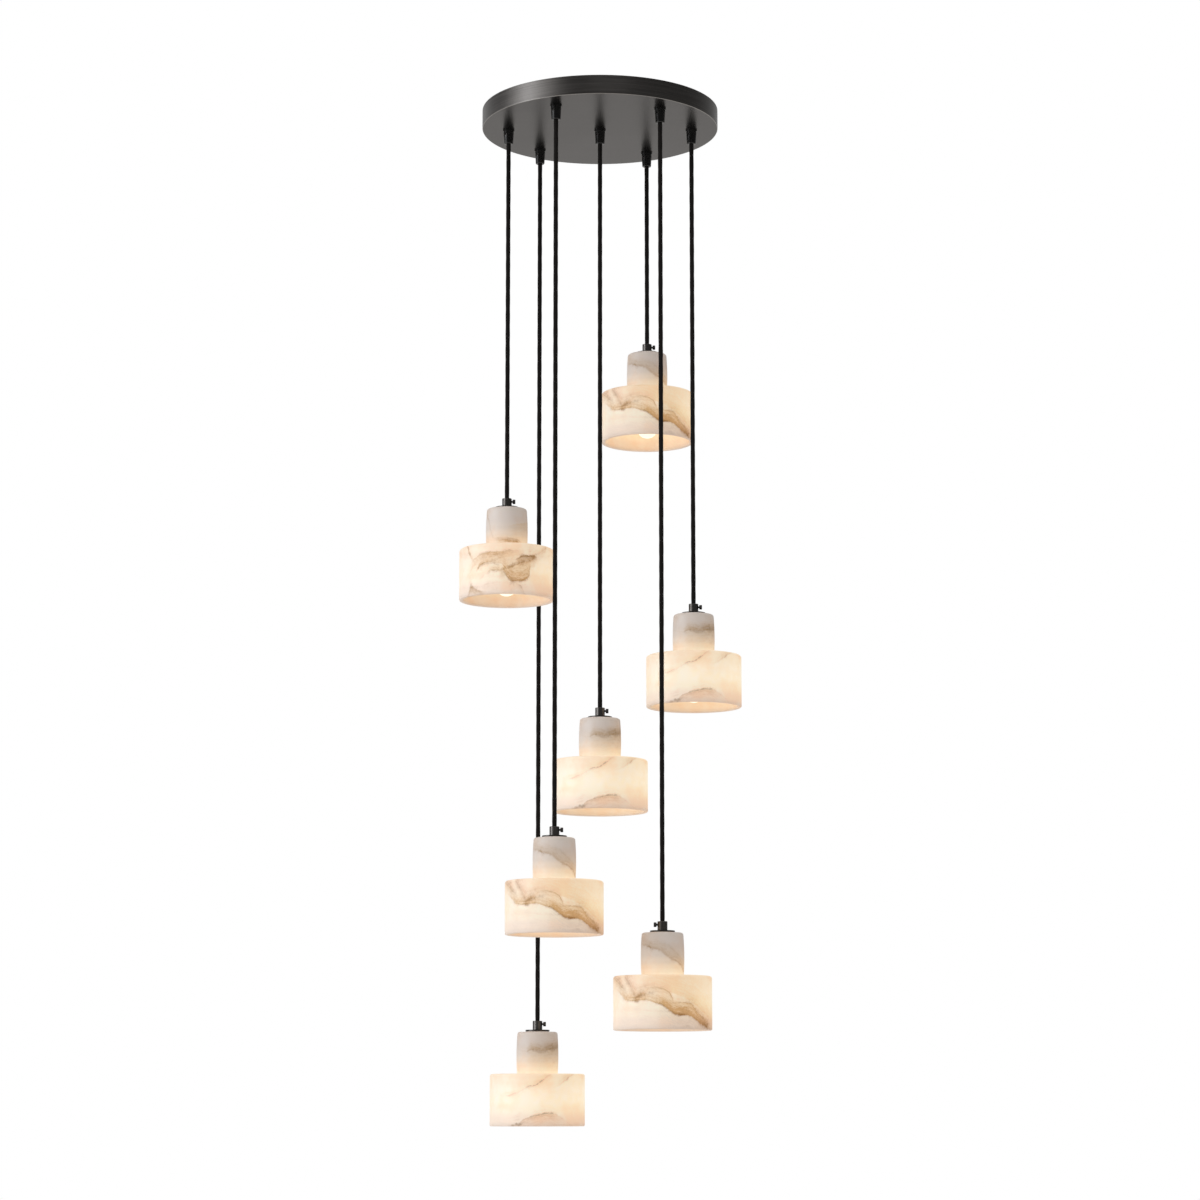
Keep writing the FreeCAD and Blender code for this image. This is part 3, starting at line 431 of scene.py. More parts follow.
arcMarks = [
    {
        "path": [
            (-66, 82, 0), (-60, 79, 0.5), (-55.6, 75.3, 0.9), (-53.9, 67.8, 1.0), (-51.5, 60.8, 0.9),
            (-48.2, 52.9, 0.6), (-44, 46, 0),
        ],
        "line": (2.4, 0.28),
        "clouds": [(1, 5, 0.8, "amber"), (-1, 4, 0.6, "amber")],
    },
    {
        "path": [
            (-52, 49, 0), (-47.4, 52.8, 0.5), (-40.8, 57.6, 0.7), (-32.6, 61.6, 0.8), (-22.8, 60.7, 0.9),
            (-13, 61.4, 1.0), (-4.8, 62, 0.9), (3.4, 63.3, 0.7), (13.3, 63.5, 0.5), (24, 64, 0),
        ],
        "line": (1.8, 0.16),
        "clouds": [(-1, 17, 0.85, "amber")],
    },
    {
        "path": [(-24, 54, 0), (-16, 57, 0.8), (-10, 58.5, 1.0), (-4, 60, 0.6), (2, 61, 0)],
        "line": (3.0, 0.16),
        "clouds": [],
    },
    {
        "path": [
            (-44, 33, 0), (-40, 38, 0.8), (-36.7, 42.5, 0.9), (-29.3, 45.9, 1.0), (-21, 46.2, 0.9),
            (-13, 43.6, 0.8), (-4, 43, 0.5), (4, 44, 0),
        ],
        "line": (2.0, 0.28),
        "clouds": [(1, 10, 0.8, "amber")],
    },
    {
        "path": [
            (-28, 29, 0), (-23.6, 31.6, 0.6), (-17.9, 34.6, 0.9), (-11.3, 34.3, 1.0), (-6.4, 32.5, 0.9),
            (-2, 31, 0),
        ],
        "line": (2.0, 0.3),
        "clouds": [(1, 9, 0.7, "amber")],
    },
    {
        "path": [
            (-10, 32, 0), (-6.4, 34.3, 0.7), (3.4, 38.3, 0.9), (11.6, 41.7, 0.8), (19.8, 46.1, 0.9),
            (28, 48.5, 1.0), (36.2, 50.8, 1.0), (41, 54.6, 0.9), (44.4, 58.7, 0.5), (48, 63, 0),
        ],
        "line": (2.0, 0.42),
        "clouds": [(-1, 11, 0.75, "amber"), (1, 7, 0.6, "amber")],
    },
    {
        "path": [
            (14, 50, 0), (19.8, 53.5, 0.7), (28, 57.2, 0.9), (36.2, 58.6, 1.0), (42, 57.6, 1.0),
            (46, 56, 0),
        ],
        "line": (1.8, 0.42),
        "clouds": [(-1, 6, 1.0, "smoke")],
    },
    {
        "path": [
            (-6, 36, 0), (-3.1, 32.6, 0.8), (0.2, 29.4, 0.9), (2.6, 24.5, 1.0), (6.7, 20.4, 1.0),
            (10.8, 18, 1.0), (16.6, 19.1, 0.9), (23.1, 18.6, 0.9), (29.7, 21.4, 0.9), (33.8, 27.4, 0.8),
            (34.6, 34, 0.7), (36.2, 42.3, 0.4), (38, 48, 0),
        ],
        "line": (1.8, 0.3),
        "clouds": [(1, 24, 1.0, "amber")],
    },
    {
        "path": [(3, 25, 0), (6, 21.5, 0.9), (9, 19, 1.0), (12, 18, 1.0), (16, 18.8, 0)],
        "line": (2.4, 0.45),
        "clouds": [],
    },
    {
        "path": [(22, 18.5, 0), (27, 19.8, 0.9), (31, 22.5, 1.0), (34, 27, 0)],
        "line": (2.6, 0.28),
        "clouds": [],
    },
    {
        "path": [
            (-56, -2, 0), (-53.5, 3.8, 0.7), (-51.8, 9, 0.9), (-49.8, 15, 1.0), (-46.5, 12, 0.9),
            (-43.3, 8.9, 0.8), (-35.9, 5.7, 0.7), (-28, 4, 0),
        ],
        "line": (2.0, 0.25),
        "clouds": [(-1, 10, 0.9, "grey")],
    },
    {
        "path": [(-53, 11, 0), (-50.5, 14, 1.0), (-48, 14, 1.0), (-46, 11.5, 0)],
        "line": (3.0, 0.45),
        "clouds": [],
    },
    {
        "path": [(-56, 26, 0), (-52, 31.6, 0.5), (-49, 40, 0.5), (-45, 45, 0.4), (-41, 50, 0)],
        "line": (1.6, 0.12),
        "clouds": [(1, 4, 0.4, "rosy")],
    },
    {
        "path": [(-38, 22, 0), (-34, 26, 0.6), (-28, 30, 0.6), (-22, 32, 0)],
        "line": (1.4, 0.14),
        "clouds": [(1, 5, 0.3, "rosy")],
    },
    {
        "path": [(-34, 12, 0), (-29.3, 14.2, 0.6), (-13, 17.4, 0.6), (-2, 19, 0)],
        "line": (1.1, 0.14),
        "clouds": [(-1, 10, 0.25, "rosy")],
    },
    {
        "path": [
            (10, 18.5, 0), (13.3, 17.3, 0.6), (19.8, 13.6, 0.7), (24.7, 8.8, 0.7), (28, 1, 0.4),
            (31, -5, 0),
        ],
        "line": (1.3, 0.22),
        "clouds": [(-1, 9, 0.3, "grey")],
    },
    {
        "path": [(43, 55, 0.3), (49.3, 60.5, 0.6), (55.9, 68, 0.8), (58.3, 73.6, 0.8), (62, 80, 0)],
        "line": (2.4, 0.14),
        "clouds": [(1, 7, 0.6, "amber"), (-1, 5, 0.4, "amber")],
    },
]
arcNeckMarks = [
    {
        "path": [
            (-20, 88, 0), (-14, 87.5, 0.4), (-8, 87, 0.7), (0, 86.1, 1.0), (8, 84.6, 1.0), (16, 84.4, 1.0),
            (20, 83, 0.6), (24, 80, 0),
        ],
        "line": (2.2, 0.16),
        "clouds": [(1, 4, 0.6, "amber"), (-1, 6, 0.9, "amber")],
    },
    {
        "path": [
            (-31, 134, 0.3), (-28, 128, 0.7), (-25, 113, 0.7), (-22.5, 99, 0.7), (-20, 91, 0.4),
            (-16, 86, 0),
        ],
        "line": (2.0, 0.14),
        "clouds": [(1, 5, 0.3, "grey"), (-1, 5, 0.35, "amber")],
    },
    {
        "path": [(2, 106, 0), (10, 108, 0.5), (17, 110, 0.8), (24, 113, 1.0), (32, 116, 0.8)],
        "line": (1.0, 0.0),
        "clouds": [(-1, 20, 0.6, "warm")],
    },
]
patterns = {
    "band": (bandMarks, bandNeckMarks),
    "mound": (moundMarks, moundNeckMarks),
    "arc": (arcMarks, arcNeckMarks),
}
patternOf = {1: "band", 2: "arc", 3: "mound", 4: "mound", 5: "band", 6: "band", 7: "mound"}


def drawMark(finish, across, up, mark, radius):
    # how far above the mark a point lies, and the mark's strength there
    stops = []
    for x, height, strength in mark["path"]:
        depth = stone["radius"] - math.sqrt(max(radius**2 - x**2, 0))
        level = (height - stone["lean"] * depth - stone["lowest"]) / stone["span"]
        stops.append((x / (2 * stone["half"]) + 0.5, (level, strength, 0, 1)))
    drawn = finish.ramp(across / (2 * stone["half"]) + 0.5, stops, "B_SPLINE")
    level, strength = finish.parts(drawn)[:2]
    return up - (level * stone["span"] + stone["lowest"]), strength


def markGroup(name, mark, radius, depth, seed):
    # one mark as a node group, and what each of its outputs is: the line, or a tint
    tree = bpy.data.node_groups.new(name, "ShaderNodeTree")
    finish = Finish(name, tree)
    for word in ("across", "up", "share", "broken"):
        tree.interface.new_socket(word, in_out="INPUT", socket_type="NodeSocketFloat")
    across, up, share, broken = finish.wires(finish.add("NodeGroupInput"), 4)
    off, strength = drawMark(finish, across, up, mark, radius)
    strength = strength * share
    along, over = stone["streaks"]
    streak = finish.node("ShaderNodeCombineXYZ", None, {0: across * along, 1: off * over, 2: seed})
    fibre = finish.step(finish.noise(streak, *stone["streakGrain"]), *stone["fibreRange"])
    width, darkness = mark["line"]
    least, more = stone["patchy"]
    even, streaked = stone["fibrous"]
    results = []
    if darkness:
        reach = off * (1 / width)
        line = finish.maths("EXPONENT", -(reach * reach)) * strength * (least + more * broken)
        results.append(("line", line * (darkness * depth)))
        near = finish.maths("EXPONENT", finish.maths("ABSOLUTE", off) * (-stone["softness"] / width))
        results.append(("smoke", near * strength * broken * fibre * (stone["smudge"] * darkness)))
    for side, reach, amount, tint in mark["clouds"]:
        beyond = off * side
        spread = finish.maths("MAXIMUM", beyond, 0.0) * (1 / reach)
        fade = finish.maths("EXPONENT", -(spread * spread))
        cloud = finish.step(beyond, *stone["cloudEdge"]) * fade * strength
        results.append((tint, cloud * ((even + streaked * fibre) * amount)))
    for i in range(len(results)):
        tree.interface.new_socket(f"result {i}", in_out="OUTPUT", socket_type="NodeSocketFloat")
    finish.add("NodeGroupOutput", None, {i: amount for i, (tint, amount) in enumerate(results)})
    return tree, [tint for tint, amount in results]


def patternGroups(pattern):
    groups = []
    radii = (stone["radius"], stone["neckRadius"])
    for part, radius, marks in zip(("drum", "neck"), radii, patterns[pattern]):
        for i, mark in enumerate(marks):
            made = markGroup(f"{pattern}_{part}_{i}", mark, radius, stone["depth"][pattern], 9.0 * i)
            groups.append((part, *made))
    return groups


def warpedPlace(finish, place):
    for scale, reach in stone["warp"]:
        swirl = finish.noise(place, scale, 1.0, out="Color")
        push = finish.vector("MULTIPLY", finish.vector("SUBTRACT", swirl, (0.5, 0.5, 0.5)), (2 * reach,) * 3)
        place = finish.vector("ADD", place, push)
    return place


def alabaster(number, pattern, groups):
    finish = Finish(f"alabaster_{number}")
    place = finish.object(shift=tuple(-1000 * rims[number]), scale=(1000, 1000, 1000))
    x, y, z = finish.parts(warpedPlace(finish, place))
    plainX, plainY, plainZ = finish.parts(place)
    radius = finish.maths("SQRT", plainX * plainX + plainY * plainY)
    up = z - stone["lean"] * (y + stone["radius"])
    grain = finish.noise(place, *stone["grain"])
    broken = finish.step(finish.noise(place, *stone["patches"]), *stone["brokenRange"])
    onNeck = finish.step(plainZ, *stone["shoulder"])

    # the marks, of which the strongest shows for each tint
    shares = {"drum": 1 - onNeck, "neck": onNeck}
    amounts = {}
    for part, tree, tints in groups:
        inputs = {"across": x, "up": up, "share": shares[part], "broken": broken}
        made = finish.add("ShaderNodeGroup", {"node_tree": tree}, inputs)
        for tint, amount in zip(tints, finish.wires(made, len(tints))):
            amounts[tint] = finish.maths("MAXIMUM", amount, amounts.get(tint, 0.0))
    veil = finish.step(finish.noise(place, *stone["veil"]), *stone["veilRange"])
    colour = finish.mix(veil, stone["pale"], stone["peach"])
    least, more = stone["mottle"]
    mottle = least + more * grain
    for tint, shade in (stone["tints"] | {"line": stone["brown"][pattern]}).items():
        if tint in amounts:
            colour = finish.mix(finish.maths("MINIMUM", amounts[tint] * mottle, 1.0), colour, shade)

    # the painted lamplight: the stone glows by height as if lit through from the lamp inside, a little
    # brighter to the right and of its own strength inside the drum
    foot, span = stone["glowFrom"], stone["glowSpan"]
    levels = [((level - foot) / span, (*shine, 1)) for level, shine in stone["glow"]]
    shine = finish.ramp((plainZ - foot) / span, levels, "EASE")
    breadth = finish.mix(onNeck, (1 / stone["radius"],) * 3 + (1,), (1 / stone["neckRadius"],) * 3 + (1,))
    scale, least, more = stone["uneven"]
    share = least + more * finish.noise(place, scale, 2.0) + stone["paintedRightGlow"] * x * finish.parts(breadth)[0]
    inner = (1 - onNeck) * (1 - finish.step(radius, *stone["innerWall"]))
    inner = inner * (1 - finish.step(plainZ, *stone["roof"]))
    share = share * (1 - (1 - stone["innerGlow"][pattern]) * inner)
    evenly = finish.node("ShaderNodeCombineXYZ", None, {0: share, 1: share, 2: share})
    stained = finish.vector("MULTIPLY", colour, stone["clear"][pattern])
    glow = finish.vector("MULTIPLY", finish.vector("MULTIPLY", stained, stained), shine)
    smooth, rougher = stone["roughness"]
    finish.set(
        Base_Color=colour,
        Roughness=smooth + rougher * grain,
        Emission_Color=finish.vector("MULTIPLY", glow, evenly),
        Emission_Strength=1.0,
        Specular_IOR_Level=stone["specular"],
    )
    finish.bump(grain, *stone["bump"])
    return finish


groupsOf = {pattern: patternGroups(pattern) for pattern in patterns}
for number in numbers:
    pattern = patternOf[number]
    paint(f"shade_{number}", alabaster(number, pattern, groupsOf[pattern]))
print("alabaster shades painted")


# Brushed canopy, with a paler line painted along its lower edge as a highlight, where the edge catches the
# light. Its roughness is the least, and what the brushing, the soft patches and the rim add to it.
canopy = {
    # the underside and the rim are two tones of the one brushed finish: the underside is painted darker as
    # shade and the rim paler as light
    "plate": ((0.0215, 0.0192, 0.0182, 1), (0.036, 0.0318, 0.0302, 1)),
    "rim": ((0.08, 0.0755, 0.072, 1), (0.138, 0.131, 0.126, 1)),
    # the colour of the painted highlight along the lower edge
    "edge": (0.27, 0.26, 0.25, 1),
    "roughness": (0.24, 0.08, 0.05, 0.04),
    "plateLevel": -0.0272,
    "edgeFrom": 0.1738,
    "blur": 0.0002,
    "plateBrush": (6, 900, 6),
    "rimBrushes": ((5, 5, 1800), (9, 9, 700)),
    "rimRange": (0.3, 0.7),
    "wideShare": 0.6,
    "patches": (9, 9, 9),
    "edgeShare": (0.6, 0.4),
    "bump": (0.0001, 0.12),
}


def brushedMetal():
    finish = Finish("brushed_gunmetal")
    x, y, z = finish.parts(finish.object())
    level, blur = canopy["plateLevel"], canopy["blur"]
    under = 1 - finish.step(z, level - blur, level + blur)
    radius = finish.maths("SQRT", x * x + y * y)
    # the painted highlight: a paler line along the rim's lower edge, where it catches the light
    edge = under * finish.step(radius, canopy["edgeFrom"], canopy["edgeFrom"] + 2 * blur)
    fine, wide = canopy["rimBrushes"]
    plateBrush = finish.noise(finish.object(scale=canopy["plateBrush"]), 1.0, 3.0, 0.6)
    fineBrush = finish.noise(finish.object(scale=fine), 1.0, 3.0, 0.6)
    wideBrush = finish.noise(finish.object(scale=wide), 1.0, 2.0, 0.7)
    share = canopy["wideShare"]
    rimBrush = finish.step((1 - share) * fineBrush + share * wideBrush, *canopy["rimRange"])
    brush = under * plateBrush + (1 - under) * rimBrush
    soft = finish.noise(finish.object(scale=canopy["patches"]), 1.0, 2.0)
    # the rim's and the underside's painted light and shade tones of the one finish
    sides = finish.mix(brush, *canopy["rim"])
    plate = finish.mix(brush, *canopy["plate"])
    shown, more = canopy["edgeShare"]
    least, brushed, patched, rim = canopy["roughness"]
    finish.set(
        Base_Color=finish.mix(edge * (shown + more * soft), finish.mix(under, sides, plate), canopy["edge"]),
        Roughness=least + brushed * brush + patched * soft + rim * (1 - under),
        Metallic=1.0,
    )
    finish.bump(brush, *canopy["bump"])
    return finish


paint("canopy_cover", brushedMetal())


# Plain finishes, each with its own grain
plain = {
    "wide": (25, 25, 25),
    "roughness": (-0.06, 0.08, 0.06),    # to the finish's own, then for the grain and the wide patches
    "bump": 0.4,
    "gripShine": 0.38,
}


def simple(name, colour, second, roughness, metallic=0.0, scale=(300, 300, 300), depth=0.00005):
    finish = Finish(name)
    grain = finish.noise(finish.object(scale=scale), 1.0, 3.0, 0.6)
    wide = finish.noise(finish.object(scale=plain["wide"]), 1.0, 2.0)
    change, grained, patched = plain["roughness"]
    finish.set(
        Base_Color=finish.mix(grain, (*colour, 1), (*second, 1)),
        Roughness=roughness + change + grained * grain + patched * wide,
        Metallic=metallic,
    )
    finish.bump(grain, depth, plain["bump"])
    return finish


finishes = {
    "gunmetal": simple("satin_gunmetal", (0.085, 0.08, 0.076), (0.11, 0.103, 0.098), 0.3, metallic=1.0,
                       scale=(60, 60, 1500)),
    "knob": simple("knob_gunmetal", (0.055, 0.052, 0.05), (0.075, 0.07, 0.068), 0.3, metallic=1.0,
                   scale=(900, 900, 900)),
    "grip": simple("grip_black", (0.0025, 0.0024, 0.0024), (0.004, 0.0038, 0.0037), 0.2,
                   scale=(250, 250, 250), depth=0.00001),
    "zinc": simple("zinc_plated", (0.55, 0.55, 0.53), (0.66, 0.66, 0.62), 0.36, metallic=1.0,
                   scale=(80, 900, 80)),
    "brass": simple("bright_brass", (0.72, 0.52, 0.2), (0.8, 0.6, 0.26), 0.3, metallic=1.0),
    "block": simple("block_white", (0.72, 0.7, 0.66), (0.78, 0.76, 0.72), 0.5),
}
finishes["grip"].set(Specular_IOR_Level=plain["gripShine"])
for node, name in {
    "mounting_bar": "zinc", "canopy_side_screws": "gunmetal", "earth_screw": "brass", "cord_grips": "grip",
    "grip_screws": "knob", "grip_nipples": "zinc", "grip_lock_nuts": "zinc", "terminal_block": "block",
    "terminal_screws": "brass",
}.items():
    paint(node, finishes[name])


# A pendant's clamp, holder and lamp each have several solids in one node, told apart in millimetres by the
# height above the rim and the distance from the axis. Roughness is the least, and what the grain and then the
# other solid add.
inside = {
    "blur": 0.05,
    "gasket": (135.3, 136.5, (0.42, 0.37, 0.33, 1)),
    "gasketHole": 9.0,
    "clampRoughness": (0.24, 0.08, 0.4),
    "clampBrush": (60, 60, 1500),
    "hidden": (134.0, (0.6, 0.6, 0.57, 1)),
    "disc": ((0.05, 0.047, 0.045, 1), (0.075, 0.07, 0.067, 1)),
    # the lamp base: its lowest and highest height, then its thread's grooves painted darker as shade and its
    # crests paler
    "base": (86.8, 108.9, (0.62, 0.6, 0.56, 1), (0.7, 0.68, 0.63, 1)),
    "threadPitch": 3.6,
    "threadBump": (0.0006, 0.6),
    "lampRoughness": (0.32, 0.1, 0.1),
    "frosting": (400, 400, 400),
    "tip": (4.5, (0.01, 0.01, 0.012, 1)),
    "liner": (13.8, 95.9, 111.7, (0.72, 0.52, 0.2, 1)),
    "cup": ((0.015, 0.015, 0.015, 1), (0.025, 0.024, 0.023, 1)),
    "holderRoughness": (0.46, 0.08, -0.16),
    "holderGrain": (300, 300, 300),
    "grainBump": (0.00005, 0.3),
    "glass": ((0.56, 0.53, 0.46, 1), (0.62, 0.585, 0.51, 1)),
    "light": ((0.86, 0.76, 0.57, 1), (0.9, 0.8, 0.61, 1)),
    "fading": (30.0, 92.0, 0.5),
}


def around(finish, number):
    # height above the rim and distance from the pendant's axis, in millimetres
    place = finish.object(shift=tuple(-1000 * rims[number]), scale=(1000, 1000, 1000))
    x, y, z = finish.parts(place)
    return z, finish.maths("SQRT", x * x + y * y)


def between(finish, value, low, high):
    blur = inside["blur"]
    return finish.step(value, low - blur, low) * (1 - finish.step(value, high, high + blur))


def clampFinish(number):
    finish = Finish(f"neck_clamp_{number}")
    z, radius = around(finish, number)
    grain = finish.noise(finish.object(scale=inside["clampBrush"]), 1.0, 3.0, 0.6)
    low, high, rubber = inside["gasket"]
    hole, blur = inside["gasketHole"], inside["blur"]
    gasket = between(finish, z, low, high) * finish.step(radius, hole - 2 * blur, hole)
    top, plated = inside["hidden"]
    hidden = 1 - finish.step(z, top, top + 2 * blur)
    metal = finish.mix(hidden, finish.mix(grain, *inside["disc"]), plated)
    least, grained, other = inside["clampRoughness"]
    finish.set(
        Base_Color=finish.mix(gasket, metal, rubber),
        Metallic=1 - gasket,
        Roughness=least + grained * grain + other * gasket,
    )
    finish.bump(grain, *inside["grainBump"])
    return finish


def lampFinish(number):
    finish = Finish(f"frosted_lamp_{number}")
    z, radius = around(finish, number)
    grain = finish.noise(finish.object(scale=inside["frosting"]), 1.0, 2.0)
    low, high, dark, bright = inside["base"]
    blur = inside["blur"]
    metal = finish.step(z, low, low + blur)
    reach, black = inside["tip"]
    tip = finish.step(z, high, high + blur) * finish.step(radius, reach - 2 * blur, reach)
    thread = 0.5 + 0.5 * finish.maths("SINE", z * (2 * math.pi / inside["threadPitch"]))
    glass = finish.mix(grain, *inside["glass"])
    # the thread's grooves painted darker and its crests paler, as painted shade
    capped = finish.mix(metal, glass, finish.mix(thread, dark, bright))
    start, end, share = inside["fading"]
    faded = finish.maths("MAXIMUM", metal, share * finish.step(z, start, end))
    least, grained, other = inside["lampRoughness"]
    finish.set(
        Base_Color=finish.mix(tip, capped, black),
        Roughness=least + grained * grain + other * (1 - metal),
        Metallic=metal * (1 - tip),
        Emission_Color=finish.mix(faded, finish.mix(grain, *inside["light"]), (0, 0, 0, 1)),
        Emission_Strength=1.0,
    )
    finish.bump(metal * thread, *inside["threadBump"])
    return finish


def holderFinish(number):
    finish = Finish(f"lamp_holder_{number}")
    z, radius = around(finish, number)
    grain = finish.noise(finish.object(scale=inside["holderGrain"]), 1.0, 3.0, 0.6)
    reach, low, high, brass = inside["liner"]
    liner = between(finish, z, low, high) * (1 - finish.step(radius, reach - inside["blur"], reach))
    least, grained, other = inside["holderRoughness"]
    finish.set(
        Base_Color=finish.mix(liner, finish.mix(grain, *inside["cup"]), brass),
        Metallic=liner,
        Roughness=least + grained * grain + other * liner,
    )
    finish.bump(grain, *inside["grainBump"])
    return finish


for number in numbers:
    paint(f"cord_cap_{number}", finishes["gunmetal"])
    paint(f"thumbscrew_{number}", finishes["knob"])
    paint(f"neck_clamp_{number}", clampFinish(number))
    paint(f"lamp_holder_{number}", holderFinish(number))
    paint(f"lamp_{number}", lampFinish(number))
print("metal, plastic and lamps painted")


# Braided cords
cord = {
    "radius": 3.35 * mm,
    "flat": 0.2 * mm,
    "twist": 52 * mm,
    "sides": 20,
    "ring": 2.0 * mm,
    "rise": 1.8 * mm,
    "bend": 5.0 * mm,
    "yarns": 16,
    "pitch": 13 * mm,
    "fuzz": (1500, 1500, 1500),
    "woven": 0.7,
    "colours": ((0.0065, 0.0058, 0.0056, 1), (0.012, 0.0106, 0.0102, 1)),
    "roughness": (0.62, 0.2),
    "sheen": 0.03,
    "specular": 0.06,
    "bump": (0.0003, 0.35),
}


def braid():
    finish = Finish("black_braid")
    u, v = finish.parts(finish.node("ShaderNodeUVMap", {"uv_map": "wrap"}))[:2]
    turn = 2 * math.pi * cord["yarns"]
    along = v * (turn / cord["pitch"])
    left = finish.maths("SINE", u * turn + along)
    right = finish.maths("SINE", u * turn - along)
    weave = 0.5 + 0.5 * left * right
    fuzz = finish.noise(finish.object(scale=cord["fuzz"]), 1.0, 2.0)
    woven, hairy = cord["woven"], 1 - cord["woven"]
    smooth, rougher = cord["roughness"]
    finish.set(
        Base_Color=finish.mix(weave * woven + hairy * fuzz, *cord["colours"]),
        Roughness=smooth + rougher * fuzz,
        Sheen_Weight=cord["sheen"],
        Specular_IOR_Level=cord["specular"],
    )
    finish.bump(weave + hairy * fuzz, *cord["bump"])
    return finish


def routeLine(name, points, steps):
    # the smooth line through the cord's route, with this many steps to each stretch
    curve = bpy.data.curves.new(name, "CURVE")
    curve.dimensions = "3D"
    spline = curve.splines.new("NURBS")
    spline.points.add(len(points) - 1)
    for point, place in zip(spline.points, points):
        point.co = (*place, 1)
    spline.order_u = 3
    spline.use_endpoint_u = True
    spline.resolution_u = steps
    holder = bpy.data.objects.new(name, curve)
    mesh = bpy.data.meshes.new_from_object(holder)
    line = [vertex.co.copy() for vertex in mesh.vertices]
    bpy.data.objects.remove(holder)
    bpy.data.curves.remove(curve)
    bpy.data.meshes.remove(mesh)
    return line


def tube(name, line):
    # an oval tube that turns along the line, as two twisted cores make it, with a UV map that wraps it
    sides = cord["sides"]
    vertices, faces, wraps = [], [], []
    gone = 0.0
    heading = (line[1] - line[0]).normalized()
    across = heading.orthogonal().normalized()
    lengths = []
    for i, point in enumerate(line):
        if i:
            gone += (point - line[i - 1]).length
            heading = (point - line[i - 1]).normalized()
            across = (across - heading * across.dot(heading)).normalized()
        side = heading.cross(across)
        for k in range(sides):
            angle = 2 * math.pi * k / sides
            lobe = math.cos(2 * (angle - 2 * math.pi * gone / cord["twist"]))
            radius = cord["radius"] - cord["flat"] * (0.5 - 0.5 * lobe)
            vertices.append(point + (across * math.cos(angle) + side * math.sin(angle)) * radius)
        lengths.append(gone)
    for i in range(len(line) - 1):
        for k in range(sides):
            after = (k + 1) % sides
            faces.append((i * sides + k, i * sides + after, (i + 1) * sides + after, (i + 1) * sides + k))
            wraps.append(((k, i), (k + 1, i), (k + 1, i + 1), (k, i + 1)))
    faces.append(tuple(reversed(range(sides))))
    faces.append(tuple(range((len(line) - 1) * sides, len(line) * sides)))
    mesh = bpy.data.meshes.new(name)
    mesh.from_pydata(vertices, [], faces)
    layer = mesh.uv_layers.new(name="wrap")
    for face in mesh.polygons:
        face.use_smooth = len(face.vertices) == 4
        for loop, corner in zip(face.loop_indices, range(len(face.vertices))):
            if face.index < len(wraps):
                k, i = wraps[face.index][corner]
                layer.data[loop].uv = (k / sides, lengths[i])
    piece = bpy.data.objects.new(name, mesh)
    bpy.context.scene.collection.objects.link(piece)
    return piece


braidFinish = braid()
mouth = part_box("cord_grips")[0].z
for number in numbers:
    middle = boxCentre(f"cord_{number}")
    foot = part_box(f"cord_{number}")[0].z
    top = Vector((middle.x, middle.y, mouth + cord["rise"]))
    end = Vector((middle.x, middle.y, foot))
    line = routeLine(f"route_{number}", [top, end], round((top - end).length / cord["ring"]))
    piece = tube(f"cord_{number}_braided", line)
    paint(piece, braidFinish)
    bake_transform(piece)
    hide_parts(f"cord_{number}")

# Inside the canopy each cord goes on out of its nipple, bends over and runs into the terminal block. A way is
# its place along the block, the block's face there and the direction into it.
tails = {
    "low": -0.0467,
    "nippleTop": -0.0222,
    "level": -0.0108,
    "approach": 0.020,
    "inside": 0.006,
    "steps": 22,
    "ways": {1: (0.016, 0.053, -1), 2: (-0.032, 0.027, 1), 3: (0.032, 0.027, 1), 4: (0.0, 0.027, 1),
             5: (-0.016, 0.027, 1), 6: (0.016, 0.027, 1), 7: (-0.016, 0.053, -1)},
}
tailPieces = []
for number in numbers:
    middle = boxCentre(f"cord_{number}")
    across, face, inward = tails["ways"][number]
    near = face - inward * tails["approach"]
    level = tails["level"]
    points = [(middle.x, middle.y, tails["nippleTop"]), (middle.x, middle.y, level)]
    if math.hypot(across - middle.x, near - middle.y) > tails["approach"]:
        points.append((across, near, level))
    points.append((across, face, level))
    line = routeLine(f"tail_route_{number}", points, tails["steps"])
    line.insert(0, Vector((middle.x, middle.y, tails["low"])))
    line.append(Vector((across, face + inward * tails["inside"], level)))
    tailPieces.append(tube(f"cord_tail_{number}", line))
bpy.ops.object.select_all(action="DESELECT")
for piece in tailPieces:
    piece.select_set(True)
bpy.context.view_layer.objects.active = tailPieces[0]
bpy.ops.object.join()
tailPiece = bpy.context.object
tailPiece.name = "cord_tails_braided"
paint(tailPiece, braidFinish)
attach(tailPiece, "canopy")
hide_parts("cord_tails")
print("cords braided")


# Room: camera, light, floor
view = {
    "eye": (0.0, -4.633, -1.473),
    "pitch": 9.033,
    "lens": 96.74,
    "sensor": 36,
    "lit": (0, 0, -0.7),
    "floor": -2.15,
    "floorSize": 24.0,
    "floorColour": (0.8, 0.8, 0.8, 1),
    "floorRoughness": 0.9,
    "floorSpecular": 0.1,
    "floorGlow": 0.35,
}


def aimed(place, target):
    return (Vector(target) - Vector(place)).to_track_quat("-Z", "Y").to_matrix().to_4x4()


camera = bpy.data.objects.new("camera", bpy.data.cameras.new("camera"))
camera.data.lens = view["lens"]
camera.data.sensor_width = view["sensor"]
camera.location = view["eye"]
camera.rotation_euler = (math.radians(90 + view["pitch"]), 0, 0)
bpy.context.scene.collection.objects.link(camera)
bpy.context.scene.camera = camera

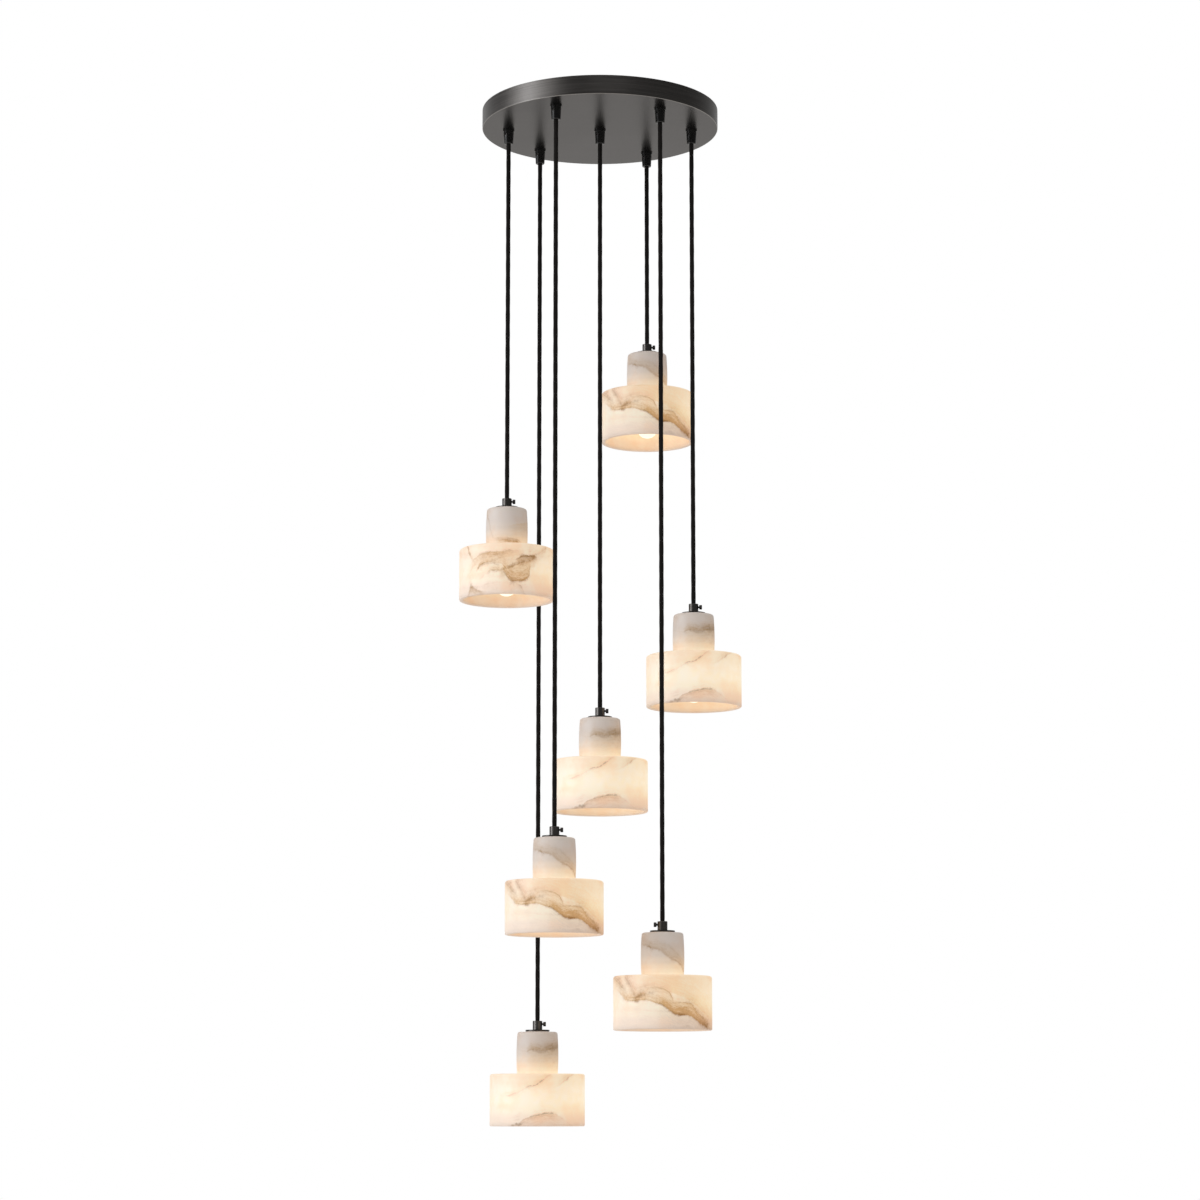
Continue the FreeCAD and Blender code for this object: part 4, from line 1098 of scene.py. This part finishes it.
lights = {
    "key": {"at": (-3.0, -1.05, -0.4), "wide": 1.0, "high": 2.8, "power": 37, "colour": (0.93, 0.96, 1.0)},
    "front": {"at": (0.6, -3.4, 2.6), "wide": 2.5, "high": 1.5, "power": 16, "colour": (1.0, 1.0, 1.0)},
}
for name, facts in lights.items():
    lamp = bpy.data.lights.new(name, "AREA")
    lamp.shape = "RECTANGLE"
    lamp.size, lamp.size_y = facts["wide"], facts["high"]
    lamp.energy = facts["power"]
    lamp.color = facts["colour"]
    holder = bpy.data.objects.new(name, lamp)
    holder.matrix_world = Matrix.Translation(facts["at"]) @ aimed(facts["at"], view["lit"])
    bpy.context.scene.collection.objects.link(holder)


# The walls that metal mirrors: where each one starts and ends along its axis, and its level. The camera
# itself sees white.
walls = {
    "dim": 0.14,
    "behind": (0.1, 0.95, 0.46),
    "darker": (0.2, 0.6, 0.22),
    "below": (0.08, 0.27),
    "above": (0.65, 0.95, 0.8),
    "left": (0.52, 0.84, 1.65),
    "leftEnd": (-0.1, 0.3),
    "diffuse": 0.67,
    "white": (1, 1, 1, 1),
    "warm": (1, 0.95, 0.89, 1),
}


def makeWorld():
    world = bpy.data.worlds.new("studio")
    bpy.context.scene.world = world
    world.use_nodes = True
    finish = Finish("studio", world.node_tree)
    room = world.node_tree.nodes["Background"]
    x, y, z = finish.parts(finish.node("ShaderNodeTexCoord", out="Generated"))
    start, end, bright = walls["behind"]
    darkFrom, darkTo, less = walls["darker"]
    back = finish.step(y, start, end) * (bright - less * finish.step(x, darkFrom, darkTo))
    below = finish.step(-z, *walls["below"])
    start, end, bright = walls["above"]
    above = bright * finish.step(z, start, end)
    level = finish.maths("MAXIMUM", walls["dim"] + back, finish.maths("MAXIMUM", below, above))
    start, end, bright = walls["left"]
    left = finish.step(-x, start, end) * (1 - finish.step(y, *walls["leftEnd"]))
    level = finish.maths("MAXIMUM", level, bright * left)
    seen = finish.add("ShaderNodeLightPath").outputs
    camera = Wire(finish, seen["Is Camera Ray"])
    glossy = Wire(finish, seen["Is Glossy Ray"])
    through = Wire(finish, seen["Is Transmission Ray"])
    diffuse = 1 - finish.maths("MAXIMUM", camera, finish.maths("MAXIMUM", glossy, through))
    seenWhite = finish.maths("MAXIMUM", camera, through)
    mirrored = glossy * level * (1 - camera)
    finish.feed(room.inputs["Strength"], walls["diffuse"] * diffuse + seenWhite + mirrored)
    finish.feed(room.inputs["Color"], finish.mix(diffuse, walls["white"], walls["warm"]))


makeWorld()


def makeFloor():
    bpy.ops.object.select_all(action="DESELECT")
    bpy.ops.mesh.primitive_plane_add(size=view["floorSize"], location=(0, 0, view["floor"]))
    floor = bpy.context.object
    floor.name = "floor"
    finish = Finish("pale_floor")
    seen = finish.add("ShaderNodeLightPath").outputs
    shown = finish.maths("MAXIMUM", Wire(finish, seen["Is Camera Ray"]), Wire(finish, seen["Is Glossy Ray"]))
    finish.set(
        Base_Color=view["floorColour"],
        Roughness=view["floorRoughness"],
        Specular_IOR_Level=view["floorSpecular"],
        Emission_Color=(1, 1, 1, 1),
        Emission_Strength=view["floorGlow"] * shown,
    )
    paint(floor, finish)


makeFloor()
bpy.context.scene.view_settings.view_transform = "Standard"
print("room made")
